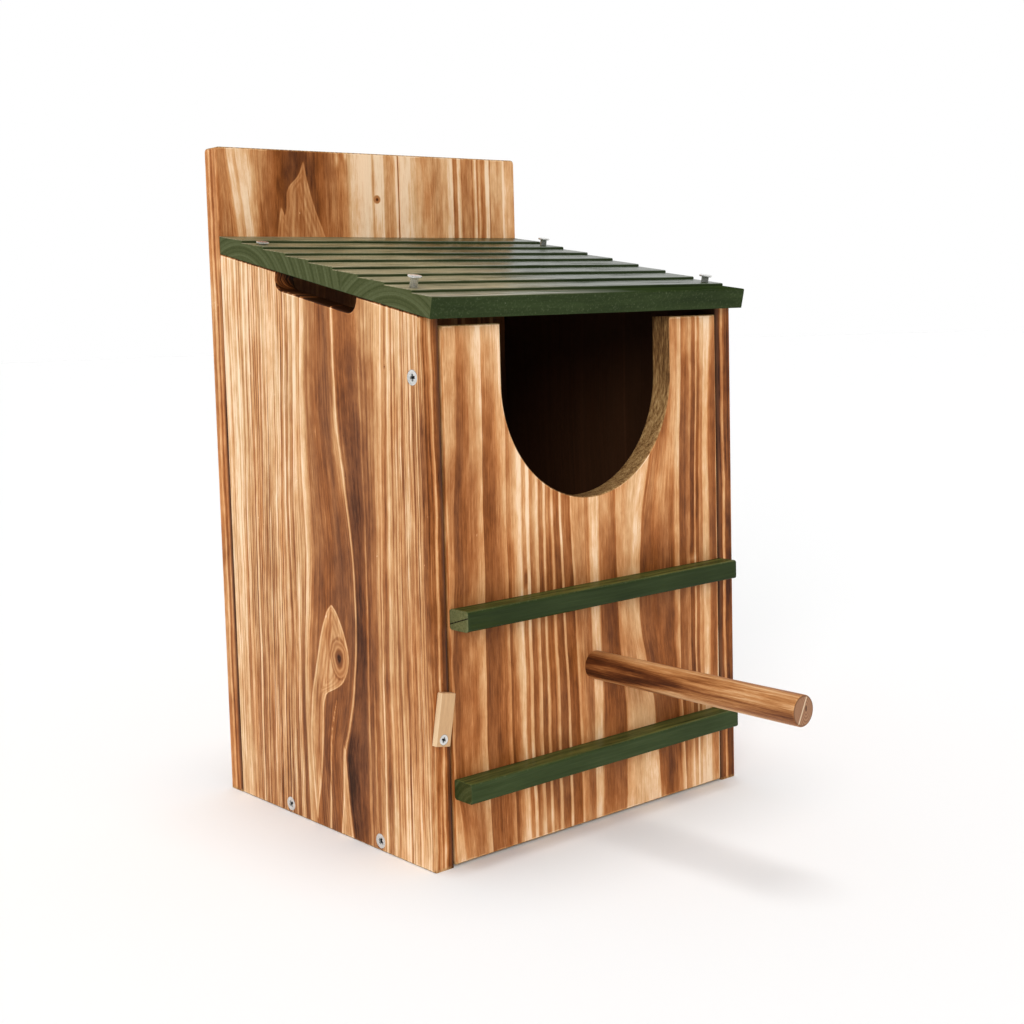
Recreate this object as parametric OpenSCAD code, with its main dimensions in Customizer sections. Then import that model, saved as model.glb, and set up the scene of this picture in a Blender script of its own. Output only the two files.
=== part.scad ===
// Owl nest box: a board box with a hinged front panel, a sloping stepped roof, a perch and a turn button.
// X runs along the front, Y from the front to the back and Z up.
// The origin is on the ground, under the middle of the whole object, perch included.

/* [Box] */
// Width over the outer faces of the two sides
box_w = 224; // [180:1:300]
// Depth from the front edges of the sides to the back of the back board
box_d = 184; // [150:1:260]
// Thickness of the back board and the two sides
board_t = 12; // [10:0.5:16]
// Height of the sides at their front edge
side_front_h = 269; // [230:1:340]
// Height of the back board above the back corners of the sides
back_rise = 59.2; // [30:0.2:120]
// Thickness of the floor board
floor_t = 10; // [8:0.5:16]

/* [Roof] */
// Slope of the roof, in degrees
roof_slope = 12.4; // [5:0.1:18]
// Thickness of the roof board at the front of a tread
roof_t = 11; // [8:0.5:16]
// Height of each step of the roof
riser_h = 1.4; // [1:0.1:3]
// Length of each tread, along the slope
tread_l = 21.2; // [15:0.1:40]
// How far the roof's underside runs past the front
roof_overhang = 8.5; // [4:0.5:20]

/* [Vents] */
// Distance of each vent notch from the front, along the slope
vent_from_front = 49; // [30:1:60]
// Distance of each vent notch from the back board, along the slope
vent_from_back = 56; // [45:1:65]
// Depth of each vent notch under the roof
vent_depth = 9; // [7:0.5:14]
// Radius of the notch's lower corners
vent_corner_r = 6; // [2:0.5:7]

/* [Front panel] */
// Thickness of the front panel
panel_t = 12; // [10:0.5:16]
// Gap between the panel and the left side
panel_gap_left = 1.5; // [1:0.1:3]
// Gap between the panel and the right side
panel_gap_right = 0.5; // [0.4:0.1:3]
// Gap between the panel and the ground
panel_gap_bottom = 1; // [0.5:0.1:3]
// Gap between the panel's top and the roof, at the panel's outer face
panel_gap_top = 5; // [4.5:0.5:12]
// Gap between the closed panel and the floor board that stops it
panel_stop_gap = 0.3; // [0.2:0.1:1]
// Width of the entrance
entrance_w = 122; // [80:1:140]
// Height of the entrance, down from the panel's top
entrance_h = 91; // [80:1:130]
// Distance of the pivot screws below the panel's top
pivot_drop = 24; // [18:1:28]

/* [Battens] */
// Height of each batten
batten_h = 10.2; // [8:0.2:20]
// How far each batten stands out of the panel
batten_d = 13; // [8:0.5:20]
// Height of the upper batten's lower edge above the ground
upper_batten_z = 118; // [110:1:150]
// Height of the lower batten's lower edge above the ground
lower_batten_z = 34; // [20:1:38]

/* [Perch] */
// Diameter of the perch
perch_d = 15; // [10:0.5:20]
// Length of the perch
perch_l = 130; // [80:1:160]
// Height of the perch's centre line
perch_z = 84; // [75:1:90]
// Width of the chamfer round the perch's end
perch_chamfer = 0.8; // [0.2:0.1:2]

/* [Turn button] */
// Width of the turn button
button_w = 9; // [7:0.5:10]
// Length of the turn button
button_l = 26; // [22:0.5:30]
// Thickness of the turn button
button_t = 3.2; // [3:0.1:6]
// Length of the button below its screw
button_tail = 3.4; // [3.3:0.1:6]
// Radius of the button's corners
button_corner_r = 1; // [0.5:0.1:2]
// Height of the button's screw above the ground
button_z = 66; // [62:1:80]
// Running gap behind the button
button_gap = 0.3; // [0.2:0.1:0.6]
// Gap between the resting button and the panel's edge
button_rest_gap = 0.3; // [0.2:0.1:0.6]
// Angle that the resting button leans towards the panel, in degrees
button_lean = 10; // [0:1:12]

/* [Wood screws] */
// Diameter of the screw heads
screw_head_d = 7.6; // [6:0.2:9]
// Diameter of the screw shanks
screw_d = 3.5; // [3:0.1:4.5]
// Length of the screws into the floor and the sides
screw_l = 30; // [24:1:40]
// Length of the pivot screws
pivot_screw_l = 28; // [22:1:34]
// Length of the screw that holds the perch
perch_screw_l = 32; // [24:1:45]
// Height of the floor screws, as a share of the floor board's thickness
floor_screw_share = 0.5; // [0.4:0.05:0.6]
// Distance of the front floor screws from the front
floor_screw_front = 43; // [35:1:60]
// Distance of the back floor screws from the back board
floor_screw_back = 49; // [35:1:60]
// Height of the lower back screws
back_screw_low = 60; // [40:1:90]
// Height of the upper back screws
back_screw_high = 240; // [200:1:260]

/* [Button screw] */
// Diameter of the button screw's head
button_screw_head_d = 5.2; // [4.4:0.1:6]
// Diameter of the button screw's shank
button_screw_d = 2.6; // [2:0.1:3]
// Length of the button screw
button_screw_l = 20; // [14:1:26]

/* [Nails] */
// Diameter of the roof nails' heads
roof_nail_head_d = 7; // [5:0.2:8]
// Thickness of the roof nails' heads
roof_nail_head_t = 0.9; // [0.6:0.1:1.5]
// Diameter of the roof nails' shanks
roof_nail_d = 4; // [2.5:0.1:4.5]
// Length of the roof nails
roof_nail_l = 38; // [30:1:50]
// Distance of the roof nails from the roof's ends
roof_nail_inset = 7; // [5:0.5:9]
// Distance of the front roof nails from the front, along the slope
roof_nail_front = 14; // [12:1:30]
// Distance of the back roof nails from the back board, along the slope
roof_nail_back = 31; // [20:1:38]
// How far the left front nail stands out of the roof
left_front_nail_proud = 6; // [1:0.1:8]
// How far the left back nail stands out of the roof
left_back_nail_proud = 1.6; // [1:0.1:8]
// How far the right front nail stands out of the roof
right_front_nail_proud = 4; // [1:0.1:8]
// How far the right back nail stands out of the roof
right_back_nail_proud = 4.4; // [1:0.1:8]
// Diameter of the batten nails' heads
batten_nail_head_d = 4.6; // [3:0.1:6]
// Thickness of the batten nails' heads
batten_nail_head_t = 0.8; // [0.5:0.1:1.2]
// Diameter of the batten nails' shanks
batten_nail_d = 2; // [1.5:0.1:2.4]
// Length of the batten nails
batten_nail_l = 21; // [18:1:23]
// Distance of the batten nails from the middle of the panel
batten_nail_from_middle = 70; // [40:1:80]

/* [Fits] */
// Radial gap between a fixed screw or nail and its hole
fixed_fit = 0.04; // [0.01:0.01:0.1]
// Radial gap between a turning piece and its screw
running_fit = 0.08; // [0.03:0.01:0.1]

/* [Hidden] */
$fn = 48;
past = 1;
overall_d = box_d + perch_l;
back_y = overall_d / 2;
front_y = back_y - box_d;
back_board_y = back_y - board_t;
panel_back_y = front_y + panel_t;
floor_front_y = panel_back_y + panel_stop_gap;

inner_half_w = box_w / 2 - board_t;
panel_left_x = -inner_half_w + panel_gap_left;
panel_right_x = inner_half_w - panel_gap_right;
panel_w = panel_right_x - panel_left_x;
panel_mid_x = (panel_left_x + panel_right_x) / 2;
panel_top_z = side_front_h - panel_gap_top;
pivot_z = panel_top_z - pivot_drop;
pivot_y = front_y + panel_t / 2;
pivot_bore_l = pivot_screw_l - board_t + past;
entrance_r = entrance_w / 2;
entrance_mid_z = panel_top_z - entrance_h + entrance_r;

roof_run = (box_d - board_t) / cos(roof_slope);
roof_front = -roof_overhang / cos(roof_slope);
tread_count = ceil((roof_run - roof_front) / tread_l);
roof_low = roof_t - riser_h;
side_back_h = side_front_h + (box_d - board_t) * tan(roof_slope);
back_h = side_back_h + back_rise;
vent_l = roof_run - vent_from_front - vent_from_back;

// The resting button leans towards the panel until its top corner is button_rest_gap from the panel's edge.
button_top = button_l - button_tail;
button_reach = (button_top - button_corner_r) * sin(button_lean)
    + (button_w / 2 - button_corner_r) * cos(button_lean) + button_corner_r;
button_x = panel_left_x - button_rest_gap - button_reach;
button_back_y = front_y - button_gap;

side_screw_x = box_w / 2;
back_screw_x = box_w / 2 - board_t / 2;
roof_nail_x = box_w / 2 - roof_nail_inset;
floor_screw_z = floor_t * floor_screw_share;
floor_screws_y = [front_y + floor_screw_front, back_board_y - floor_screw_back];
roof_nails_y = [roof_nail_front, roof_run - roof_nail_back];

wood = "#B5804C";
pale_wood = "#E0BC8C";
dark_wood = "#8A5630";
green = "#39492F";
zinc = "#C4C6C8";

// Frames: each puts its children's origin on a surface, with their +Z pointing out of that surface.

// On the outer face of a side: side is -1 on the left and 1 on the right, y and z are absolute.
module on_side(side, y, z) {
    translate([side * side_screw_x, y, z])
        rotate([0, side * 90, 0])
            children();
}

// On the back of the back board.
module on_back(x, z) {
    translate([x, back_y, z])
        rotate([-90, 0, 0])
            children();
}

// On the panel's inner face.
module on_panel_back(x, z) {
    translate([x, panel_back_y, z])
        rotate([-90, 0, 0])
            children();
}

// On the roof's underside, where it crosses the front of the box: +Y runs up the slope.
module roof_frame() {
    translate([0, front_y, side_front_h])
        rotate([roof_slope, 0, 0])
            children();
}

// A profile drawn in Y and Z, as thick as x_to - x_from.
module across(x_from, x_to) {
    translate([x_from, 0, 0])
        rotate([90, 0, 90])
            linear_extrude(x_to - x_from)
                children();
}

// A profile drawn in X and Z, as thick as y_to - y_from.
module along(y_from, y_to) {
    translate([0, y_to, 0])
        rotate([90, 0, 0])
            linear_extrude(y_to - y_from)
                children();
}

// Fasteners: the head's top is at the origin, and the shank runs down -Z.

// Outline of a countersunk screw, or of its hole where grow is more than 0, which runs past the top.
module screw_outline(head_d, shank_d, length, grow = 0) {
    top = grow > 0 ? past : 0;
    head_r = head_d / 2 + grow;
    shank_r = shank_d / 2 + grow;
    rim = head_d * 0.05;
    cone = (head_d - shank_d) / 2;
    tip = shank_d * 0.8;
    rotate_extrude()
        polygon([
            [0, top], [head_r, top], [head_r, -rim], [shank_r, -rim - cone],
            [shank_r, tip - length - grow], [0, -length - grow]
        ]);
}

// Countersunk screw with a cross recess.
module screw(head_d, shank_d, length) {
    slot_l = head_d * 0.5;
    slot_w = head_d * 0.19;
    slot_deep = head_d * 0.25;
    difference() {
        screw_outline(head_d, shank_d, length);
        for (turn = [0, 90])
            rotate(turn + 20)
                translate([-slot_l / 2, -slot_w / 2, -slot_deep])
                    cube([slot_l, slot_w, slot_deep + past]);
    }
}

// Flat-headed nail, proud of the surface by proud, and its hole when grow is more than 0.
module nail(head_d, head_t, shank_d, length, proud = 0, grow = 0) {
    top = grow > 0 ? past : 0;
    translate([0, 0, proud])
        rotate_extrude()
            polygon([
                [0, top], [head_d / 2 + grow, top], [head_d / 2 + grow, -head_t - grow],
                [shank_d / 2 + grow, -head_t - grow], [shank_d / 2 + grow, shank_d - length - grow],
                [0, -length - grow]
            ]);
}

module wood_screw(length, grow = 0) {
    if (grow > 0)
        screw_outline(screw_head_d, screw_d, length, grow);
    else
        screw(screw_head_d, screw_d, length);
}

// Floor screw: side is -1 or 1, and row is 0 in the front row and 1 in the back row.
module floor_screw(side, row, grow = 0) {
    on_side(side, floor_screws_y[row], floor_screw_z)
        wood_screw(screw_l, grow);
}

module pivot_screw(side, grow = 0) {
    on_side(side, pivot_y, pivot_z)
        wood_screw(pivot_screw_l, grow);
}

module back_screw(side, z, grow = 0) {
    on_back(side * back_screw_x, z)
        wood_screw(screw_l, grow);
}

module perch_screw(grow = 0) {
    on_panel_back(panel_mid_x, perch_z)
        wood_screw(perch_screw_l, grow);
}

// Roof nail: side is -1 or 1, row is 0 in the front row and 1 in the back row.
// proud is how far the nail stands out of the tread there.
module roof_nail(side, row, proud, grow = 0) {
    roof_frame()
        translate([side * roof_nail_x, roof_nails_y[row], tread_height(roof_nails_y[row])])
            nail(roof_nail_head_d, roof_nail_head_t, roof_nail_d, roof_nail_l, proud, grow);
}

// Batten nail, driven from inside the panel: side is -1 or 1.
module batten_nail(side, batten_z, grow = 0) {
    on_panel_back(panel_mid_x + side * batten_nail_from_middle, batten_z + batten_h / 2)
        nail(batten_nail_head_d, batten_nail_head_t, batten_nail_d, batten_nail_l, 0, grow);
}

module button_screw_outline(grow) {
    translate([button_x, button_back_y - button_t, button_z])
        rotate([90, 0, 0])
            screw_outline(button_screw_head_d, button_screw_d, button_screw_l, grow);
}

// Height of the roof's top above its underside, at a distance y up the slope from the front of the box.
function tread_height(y) = roof_low + riser_h * ((roof_run - y) % tread_l) / tread_l;

// Roof profile: each tread rises to the front over its length, and a step faces the front below it.
module roof_profile() {
    behind = roof_run + roof_t;
    front_h = tread_height(roof_front);
    steps = [for (i = [1 : tread_count - 1]) each [
        [roof_run - i * tread_l, roof_t],
        [roof_run - i * tread_l, roof_low]
    ]];
    polygon(concat(
        [[roof_front, 0], [behind, 0], [behind, roof_low], [roof_run, roof_low]],
        steps,
        [[roof_front, front_h]]
    ));
}

// Vent notch in the top of a side, seen from the side in the roof's frame.
module vent_profile() {
    far = vent_from_front + vent_l;
    translate([vent_from_front, vent_corner_r - vent_depth])
        square([vent_l, vent_depth]);
    translate([vent_from_front + vent_corner_r, -vent_depth])
        square([vent_l - 2 * vent_corner_r, vent_depth]);
    for (y = [vent_from_front + vent_corner_r, far - vent_corner_r])
        translate([y, vent_corner_r - vent_depth])
            circle(vent_corner_r);
}

module side_board(side) {
    x_from = side < 0 ? -box_w / 2 : inner_half_w;
    difference() {
        across(x_from, x_from + board_t)
            polygon([
                [front_y, 0], [back_board_y, 0],
                [back_board_y, side_back_h], [front_y, side_front_h]
            ]);
        roof_frame()
            across(x_from - past, x_from + board_t + past)
                vent_profile();
        for (row = [0, 1])
            floor_screw(side, row, fixed_fit);
        pivot_screw(side, fixed_fit);
        back_screw(side, back_screw_low, fixed_fit);
        back_screw(side, back_screw_high, fixed_fit);
        roof_nails(fixed_fit);
    }
}

module roof_nails(grow) {
    roof_nail(-1, 0, left_front_nail_proud, grow);
    roof_nail(-1, 1, left_back_nail_proud, grow);
    roof_nail(1, 0, right_front_nail_proud, grow);
    roof_nail(1, 1, right_back_nail_proud, grow);
}

module back_board() {
    color(wood)
        difference() {
            translate([-box_w / 2, back_board_y, 0])
                cube([box_w, board_t, back_h]);
            for (side = [-1, 1]) {
                back_screw(side, back_screw_low, fixed_fit);
                back_screw(side, back_screw_high, fixed_fit);
            }
        }
}

module left_side() {
    color(pale_wood)
        difference() {
            side_board(-1);
            button_screw_outline(fixed_fit);
        }
}

module right_side() {
    color(wood)
        side_board(1);
}

module floor_board() {
    color(wood)
        difference() {
            translate([-inner_half_w, floor_front_y, 0])
                cube([2 * inner_half_w, back_board_y - floor_front_y, floor_t]);
            for (side = [-1, 1])
                for (row = [0, 1])
                    floor_screw(side, row, fixed_fit);
        }
}

module roof_board() {
    color(green)
        difference() {
            roof_frame()
                across(-box_w / 2, box_w / 2)
                    roof_profile();
            translate([-box_w, back_board_y, 0])
                cube([2 * box_w, box_d, back_h * 2]);
            roof_nails(fixed_fit);
        }
}

module front_panel() {
    color(dark_wood)
        difference() {
            along(front_y, panel_back_y)
                difference() {
                    translate([panel_left_x, panel_gap_bottom])
                        square([panel_w, panel_top_z - panel_gap_bottom]);
                    translate([panel_mid_x, entrance_mid_z])
                        circle(entrance_r, $fn = 96);
                    translate([panel_mid_x - entrance_r, entrance_mid_z])
                        square([entrance_w, panel_top_z]);
                }
            for (side = [-1, 1])
                translate([side * inner_half_w, pivot_y, pivot_z])
                    rotate([0, -side * 90, 0])
                        cylinder(h = pivot_bore_l, r = screw_d / 2 + running_fit);
            perch_screw(fixed_fit);
            batten_nails(fixed_fit);
        }
}

module batten_nails(grow) {
    for (side = [-1, 1]) {
        batten_nail(side, upper_batten_z, grow);
        batten_nail(side, lower_batten_z, grow);
    }
}

module batten(z) {
    color(green)
        difference() {
            translate([panel_left_x, front_y - batten_d, z])
                cube([panel_w, batten_d, batten_h]);
            batten_nails(fixed_fit);
        }
}

module upper_batten() {
    batten(upper_batten_z);
}

module lower_batten() {
    batten(lower_batten_z);
}

module perch() {
    color(wood)
        difference() {
            translate([panel_mid_x, front_y, perch_z])
                rotate([90, 0, 0]) {
                    cylinder(h = perch_l - perch_chamfer, d = perch_d);
                    translate([0, 0, perch_l - perch_chamfer])
                        cylinder(h = perch_chamfer, d1 = perch_d, d2 = perch_d - 2 * perch_chamfer);
                }
            perch_screw(fixed_fit);
        }
}

module turn_button() {
    low = -button_tail + button_corner_r;
    high = button_top - button_corner_r;
    half = button_w / 2 - button_corner_r;
    color(pale_wood)
        difference() {
            translate([button_x, 0, button_z])
                rotate([0, button_lean, 0])
                    along(button_back_y - button_t, button_back_y) {
                        translate([-button_w / 2, low])
                            square([button_w, high - low]);
                        translate([-half, -button_tail])
                            square([2 * half, button_l]);
                        for (x = [-half, half])
                            for (z = [low, high])
                                translate([x, z])
                                    circle(button_corner_r);
                    }
            button_screw_outline(running_fit);
        }
}

module turn_button_screw() {
    color(zinc)
        translate([button_x, button_back_y - button_t, button_z])
            rotate([90, 0, 0])
                screw(button_screw_head_d, button_screw_d, button_screw_l);
}

back_board();
left_side();
right_side();
floor_board();
roof_board();
front_panel();
upper_batten();
lower_batten();
perch();
turn_button();
turn_button_screw();
color(zinc) pivot_screw(-1);  // left_pivot_screw
color(zinc) pivot_screw(1);  // right_pivot_screw
color(zinc) floor_screw(-1, 0);  // left_floor_screw_front
color(zinc) floor_screw(-1, 1);  // left_floor_screw_back
color(zinc) floor_screw(1, 0);  // right_floor_screw_front
color(zinc) floor_screw(1, 1);  // right_floor_screw_back
color(zinc) back_screw(-1, back_screw_low);  // left_back_screw_low
color(zinc) back_screw(-1, back_screw_high);  // left_back_screw_high
color(zinc) back_screw(1, back_screw_low);  // right_back_screw_low
color(zinc) back_screw(1, back_screw_high);  // right_back_screw_high
color(zinc) roof_nail(-1, 0, left_front_nail_proud);  // left_roof_nail_front
color(zinc) roof_nail(-1, 1, left_back_nail_proud);  // left_roof_nail_back
color(zinc) roof_nail(1, 0, right_front_nail_proud);  // right_roof_nail_front
color(zinc) roof_nail(1, 1, right_back_nail_proud);  // right_roof_nail_back
color(zinc) perch_screw();
color(zinc) batten_nail(-1, upper_batten_z);  // upper_batten_nail_left
color(zinc) batten_nail(1, upper_batten_z);  // upper_batten_nail_right
color(zinc) batten_nail(-1, lower_batten_z);  // lower_batten_nail_left
color(zinc) batten_nail(1, lower_batten_z);  // lower_batten_nail_right
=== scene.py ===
"""Owl nest box in scorched fir, with a green stepped roof, two green battens, a perch and a turn button.

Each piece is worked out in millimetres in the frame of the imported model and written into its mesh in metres.
"""

import logging
import math
from collections.abc import Callable, Sequence
from dataclasses import dataclass, field
from enum import Enum
from typing import NamedTuple

import bpy
import numpy as np
from mathutils import Matrix, Vector


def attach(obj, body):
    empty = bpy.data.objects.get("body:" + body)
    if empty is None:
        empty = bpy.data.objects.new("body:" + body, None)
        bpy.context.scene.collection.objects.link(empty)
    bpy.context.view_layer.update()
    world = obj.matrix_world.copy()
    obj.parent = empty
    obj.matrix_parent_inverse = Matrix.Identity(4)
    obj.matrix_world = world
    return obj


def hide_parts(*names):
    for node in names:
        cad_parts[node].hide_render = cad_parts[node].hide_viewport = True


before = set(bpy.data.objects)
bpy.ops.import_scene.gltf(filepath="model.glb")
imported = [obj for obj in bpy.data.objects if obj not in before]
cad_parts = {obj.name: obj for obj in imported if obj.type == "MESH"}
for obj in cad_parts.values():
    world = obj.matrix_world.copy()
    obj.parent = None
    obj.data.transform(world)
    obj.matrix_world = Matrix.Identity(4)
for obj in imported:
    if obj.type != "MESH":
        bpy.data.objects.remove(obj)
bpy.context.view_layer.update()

LOG = logging.getLogger("nest_box")
Array = np.ndarray
Color = tuple[float, float, float, float]

# A millimetre in metres, and, in millimetres, a column's distance from its board's edge, the step of a fine
# lattice, and levels below and above everything.
MM = 0.001
NEAR_EDGE = 0.8
FINE = 1.0
FAR_DOWN = -1e9
FAR_UP = 1e9

# Shares of a patch that is ruled in two steps.
HALVES = np.array([0, 0.5, 1.0])


# ---- Numbers and curves ----


def srgb(code: str) -> Color:
    """Linear colour of a hex code such as "#C8935A"."""
    parts = [int(code[i : i + 2], 16) / 255 for i in (1, 3, 5)]
    line = [c / 12.92 if c <= 0.04045 else ((c + 0.055) / 1.055) ** 2.4 for c in parts]
    return (line[0], line[1], line[2], 1.0)


def spread(breaks: Sequence[float], pitches: Sequence[float] | float) -> Array:
    """Places between breaks: each span is cut evenly into the fewest parts no longer than its pitch.

    Args:
        breaks: Rising places that are kept as they are.
        pitches: The longest step of each span between two breaks, or of all of them.

    Returns:
        All places, in rising order.
    """
    spans = [
        np.linspace(low, high, max(1, math.ceil((high - low) / pitch - 1e-9)), endpoint=False)
        for low, high, pitch in zip(breaks, breaks[1:], np.broadcast_to(pitches, len(breaks) - 1))
    ]
    return np.concatenate([*spans, [breaks[-1]]])


def flowing(x: Array, places: Sequence[float], values: Sequence[float]) -> Array:
    """Smooth curve through points: a cubic Hermite between each two, with the slope of their neighbours.

    Args:
        x: Where to read the curve.
        places: Rising places of the points.
        values: Their values.

    Returns:
        The curve's value at each x, held constant past both ends.
    """
    at = np.asarray(places, float)
    value = np.asarray(values, float)
    slope = np.gradient(value, at)
    x = np.clip(x, at[0], at[-1])
    i = np.clip(np.searchsorted(at, x) - 1, 0, len(at) - 2)
    width = at[i + 1] - at[i]
    t = (x - at[i]) / width
    return (
        (2 * t**3 - 3 * t**2 + 1) * value[i]
        + (t**3 - 2 * t**2 + t) * width * slope[i]
        + (3 * t**2 - 2 * t**3) * value[i + 1]
        + (t**3 - t**2) * width * slope[i + 1]
    )


def pairs(across: Array, along: Array | float) -> Array:
    """Points from two rows of places, one of which may be a single place."""
    return np.column_stack(np.broadcast_arrays(across, along))


def soft_step(x: Array, low: float, high: float) -> Array:
    """Rises from 0 at low to 1 at high, as t * t * (3 - 2 * t)."""
    t = np.clip((x - low) / (high - low), 0, 1)
    return t * t * (3 - 2 * t)


def eased(distance: Array, radius: float) -> Array:
    """How far a quarter circle of that radius stays from its corner's line, at a distance from the end."""
    t = np.clip(distance, 0, radius)
    return radius - np.sqrt(np.maximum(radius**2 - (radius - t) ** 2, 0))


# ---- Shader graphs ----


def math_node(operation: str, reflected: bool = False) -> Callable[..., "Wire"]:
    """A method that adds a Math node, with the wire after the other value where it is reflected."""

    def method(self: "Wire", *others: "Wire | float") -> "Wire":
        """Adds the node and gives its result."""
        values = (*others, self) if reflected else (self, *others)
        node = self.graph.add("ShaderNodeMath", {"operation": operation}, dict(enumerate(values)))
        return Wire(self.graph, node.outputs[0])

    return method


@dataclass(frozen=True)
class Wire:
    """A value in a finish's node graph: an expression on wires adds the Math nodes that it needs."""

    graph: "Graph"
    socket: bpy.types.NodeSocket

    __add__ = __radd__ = math_node("ADD")
    __sub__, __rsub__ = math_node("SUBTRACT"), math_node("SUBTRACT", reflected=True)
    __mul__ = __rmul__ = math_node("MULTIPLY")
    __truediv__ = math_node("DIVIDE")
    sine, root = math_node("SINE"), math_node("SQRT")
    fraction, size = math_node("FRACT"), math_node("ABSOLUTE")
    least, most = math_node("MINIMUM"), math_node("MAXIMUM")
    over = math_node("GREATER_THAN")

    def step(self, low: float, high: float, start: float = 0.0, end: float = 1.0) -> "Wire":
        """Smooth rise from start at low to end at high."""
        node = self.graph.add(
            "ShaderNodeMapRange",
            {"interpolation_type": "SMOOTHSTEP"},
            {"Value": self, "From Min": low, "From Max": high, "To Min": start, "To Max": end},
        )
        return Wire(self.graph, node.outputs["Result"])


Paint = Wire | Color


class Graph:
    """A node graph that is written as expressions."""

    def __init__(self, tree: bpy.types.NodeTree) -> None:
        """Works on that tree."""
        self.tree = tree

    def add(self, kind: str, settings: dict | None = None, inputs: dict | None = None) -> bpy.types.Node:
        """Adds a node.

        Args:
            kind: The node's type.
            settings: Its settings, set first. "stops" gives a ramp's places and colours.
            inputs: Values, sockets or wires by socket name or number.

        Returns:
            The node.
        """
        node = self.tree.nodes.new(kind)
        for name, value in (settings or {}).items():
            if name == "stops":
                self.set_stops(node.color_ramp, value)
            else:
                setattr(node, name, value)
        for key, value in (inputs or {}).items():
            self.feed(node.inputs[key], value)
        return node

    def feed(self, socket: bpy.types.NodeSocket, value: object) -> None:
        """Links a wire or socket to a socket, or sets its value."""
        if isinstance(value, Wire):
            value = value.socket
        if isinstance(value, bpy.types.NodeSocket):
            self.tree.links.new(value, socket)
        else:
            socket.default_value = value

    @staticmethod
    def set_stops(ramp: bpy.types.ColorRamp, stops: Sequence[tuple[float, Color]]) -> None:
        """Gives a ramp its stops, in rising order."""
        while len(ramp.elements) > 1:
            ramp.elements.remove(ramp.elements[-1])
        ramp.elements[0].position = stops[0][0]
        ramp.elements[0].color = stops[0][1]
        for place, color in stops[1:]:
            ramp.elements.new(place).color = color

    def parts(self, vector: bpy.types.NodeSocket) -> tuple[Wire, Wire, Wire]:
        """The three values of a vector."""
        x, y, z = (Wire(self, out) for out in self.add("ShaderNodeSeparateXYZ", {}, {0: vector}).outputs)
        return x, y, z

    def noise(
        self, place: Sequence[Wire | float], detail: float = 2.0, roughness: float = 0.5, lean: float = 0.0
    ) -> Wire:
        """Noise at a place, about 0 and mostly from -1 to 1.

        Args:
            place: Three values in units of the noise's own size.
            detail: How many finer layers it has.
            roughness: How strong they are.
            lean: How much it is drawn out of shape.

        Returns:
            The noise.
        """
        vector = self.add("ShaderNodeCombineXYZ", {}, dict(enumerate(place))).outputs[0]
        node = self.add(
            "ShaderNodeTexNoise",
            {"noise_dimensions": "3D"},
            {"Vector": vector, "Scale": 1.0, "Detail": detail, "Roughness": roughness, "Distortion": lean},
        )
        return (Wire(self, node.outputs["Fac"]) - 0.5) * 3.2

    def ramp(self, value: Wire, stops: Sequence[tuple[float, Color]]) -> Wire:
        """A colour for each value from 0 to 1."""
        node = self.add("ShaderNodeValToRGB", {"stops": stops}, {"Fac": value})
        return Wire(self, node.outputs["Color"])

    def shade(self, value: Wire, places: Sequence[float], codes: Sequence[str]) -> Wire:
        """A colour for each value, from hex codes at rising places."""
        return self.ramp(value, [(place, srgb(code)) for place, code in zip(places, codes)])

    def blend(self, share: Wire | float, under: Paint, over: Paint | str) -> Wire:
        """A colour or hex code over another colour, by a share."""
        inputs = {0: share, 6: under, 7: srgb(over) if isinstance(over, str) else over}
        node = self.add("ShaderNodeMix", {"data_type": "RGBA", "blend_type": "MIX"}, inputs)
        return Wire(self, node.outputs[2])

    def channels(self, color: Wire) -> tuple[Wire, Wire, Wire]:
        """The three parts of a colour."""
        split = self.add("ShaderNodeSeparateColor", {}, {0: color})
        red, green, blue = (Wire(self, out) for out in split.outputs)
        return red, green, blue


class Recipe(Graph):
    """The node graph of one finish, ending in one Principled shader."""

    def __init__(self, name: str) -> None:
        """Starts an empty material of that name."""
        self.material = bpy.data.materials.new(name)
        self.material.use_nodes = True
        super().__init__(self.material.node_tree)
        self.tree.nodes.clear()
        self.shader = self.tree.nodes.new("ShaderNodeBsdfPrincipled")
        output = self.tree.nodes.new("ShaderNodeOutputMaterial")
        self.tree.links.new(self.shader.outputs[0], output.inputs["Surface"])

    def attribute(self, name: str) -> Wire:
        """A number that the mesh holds at each of its points."""
        node = self.add("ShaderNodeAttribute", {"attribute_name": name})
        return Wire(self, node.outputs["Fac"])

    def axes(self) -> tuple[Wire, Wire, Wire]:
        """The place on the object along X, Y and Z, in millimetres."""
        x, y, z = self.parts(self.add("ShaderNodeTexCoord").outputs["Object"])
        return x / MM, y / MM, z / MM

    def bump(self, height: Wire, distance: float) -> None:
        """Roughens the surface by a height from 0 to 1 over a distance in millimetres."""
        node = self.add("ShaderNodeBump", {}, {"Height": height, "Distance": distance * MM, "Strength": 1.0})
        self.feed(self.shader.inputs["Normal"], node.outputs[0])

    def finish(self, **inputs: object) -> bpy.types.Material:
        """Feeds the shader by socket name, with _ for a space, and returns the material."""
        for name, value in inputs.items():
            self.feed(self.shader.inputs[name.replace("_", " ")], value)
        return self.material


# ---- Grain ----


@dataclass(frozen=True)
class Band:
    """One stop across a board: its place, how dark it is, and how strong the fine lines are there."""

    place: float
    tone: float
    lines: float = 0.3


@dataclass(frozen=True)
class Guide:
    """A line of the grain: the number that it carries, and where it lies at each level."""

    number: float
    course: tuple[float, ...]


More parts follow.
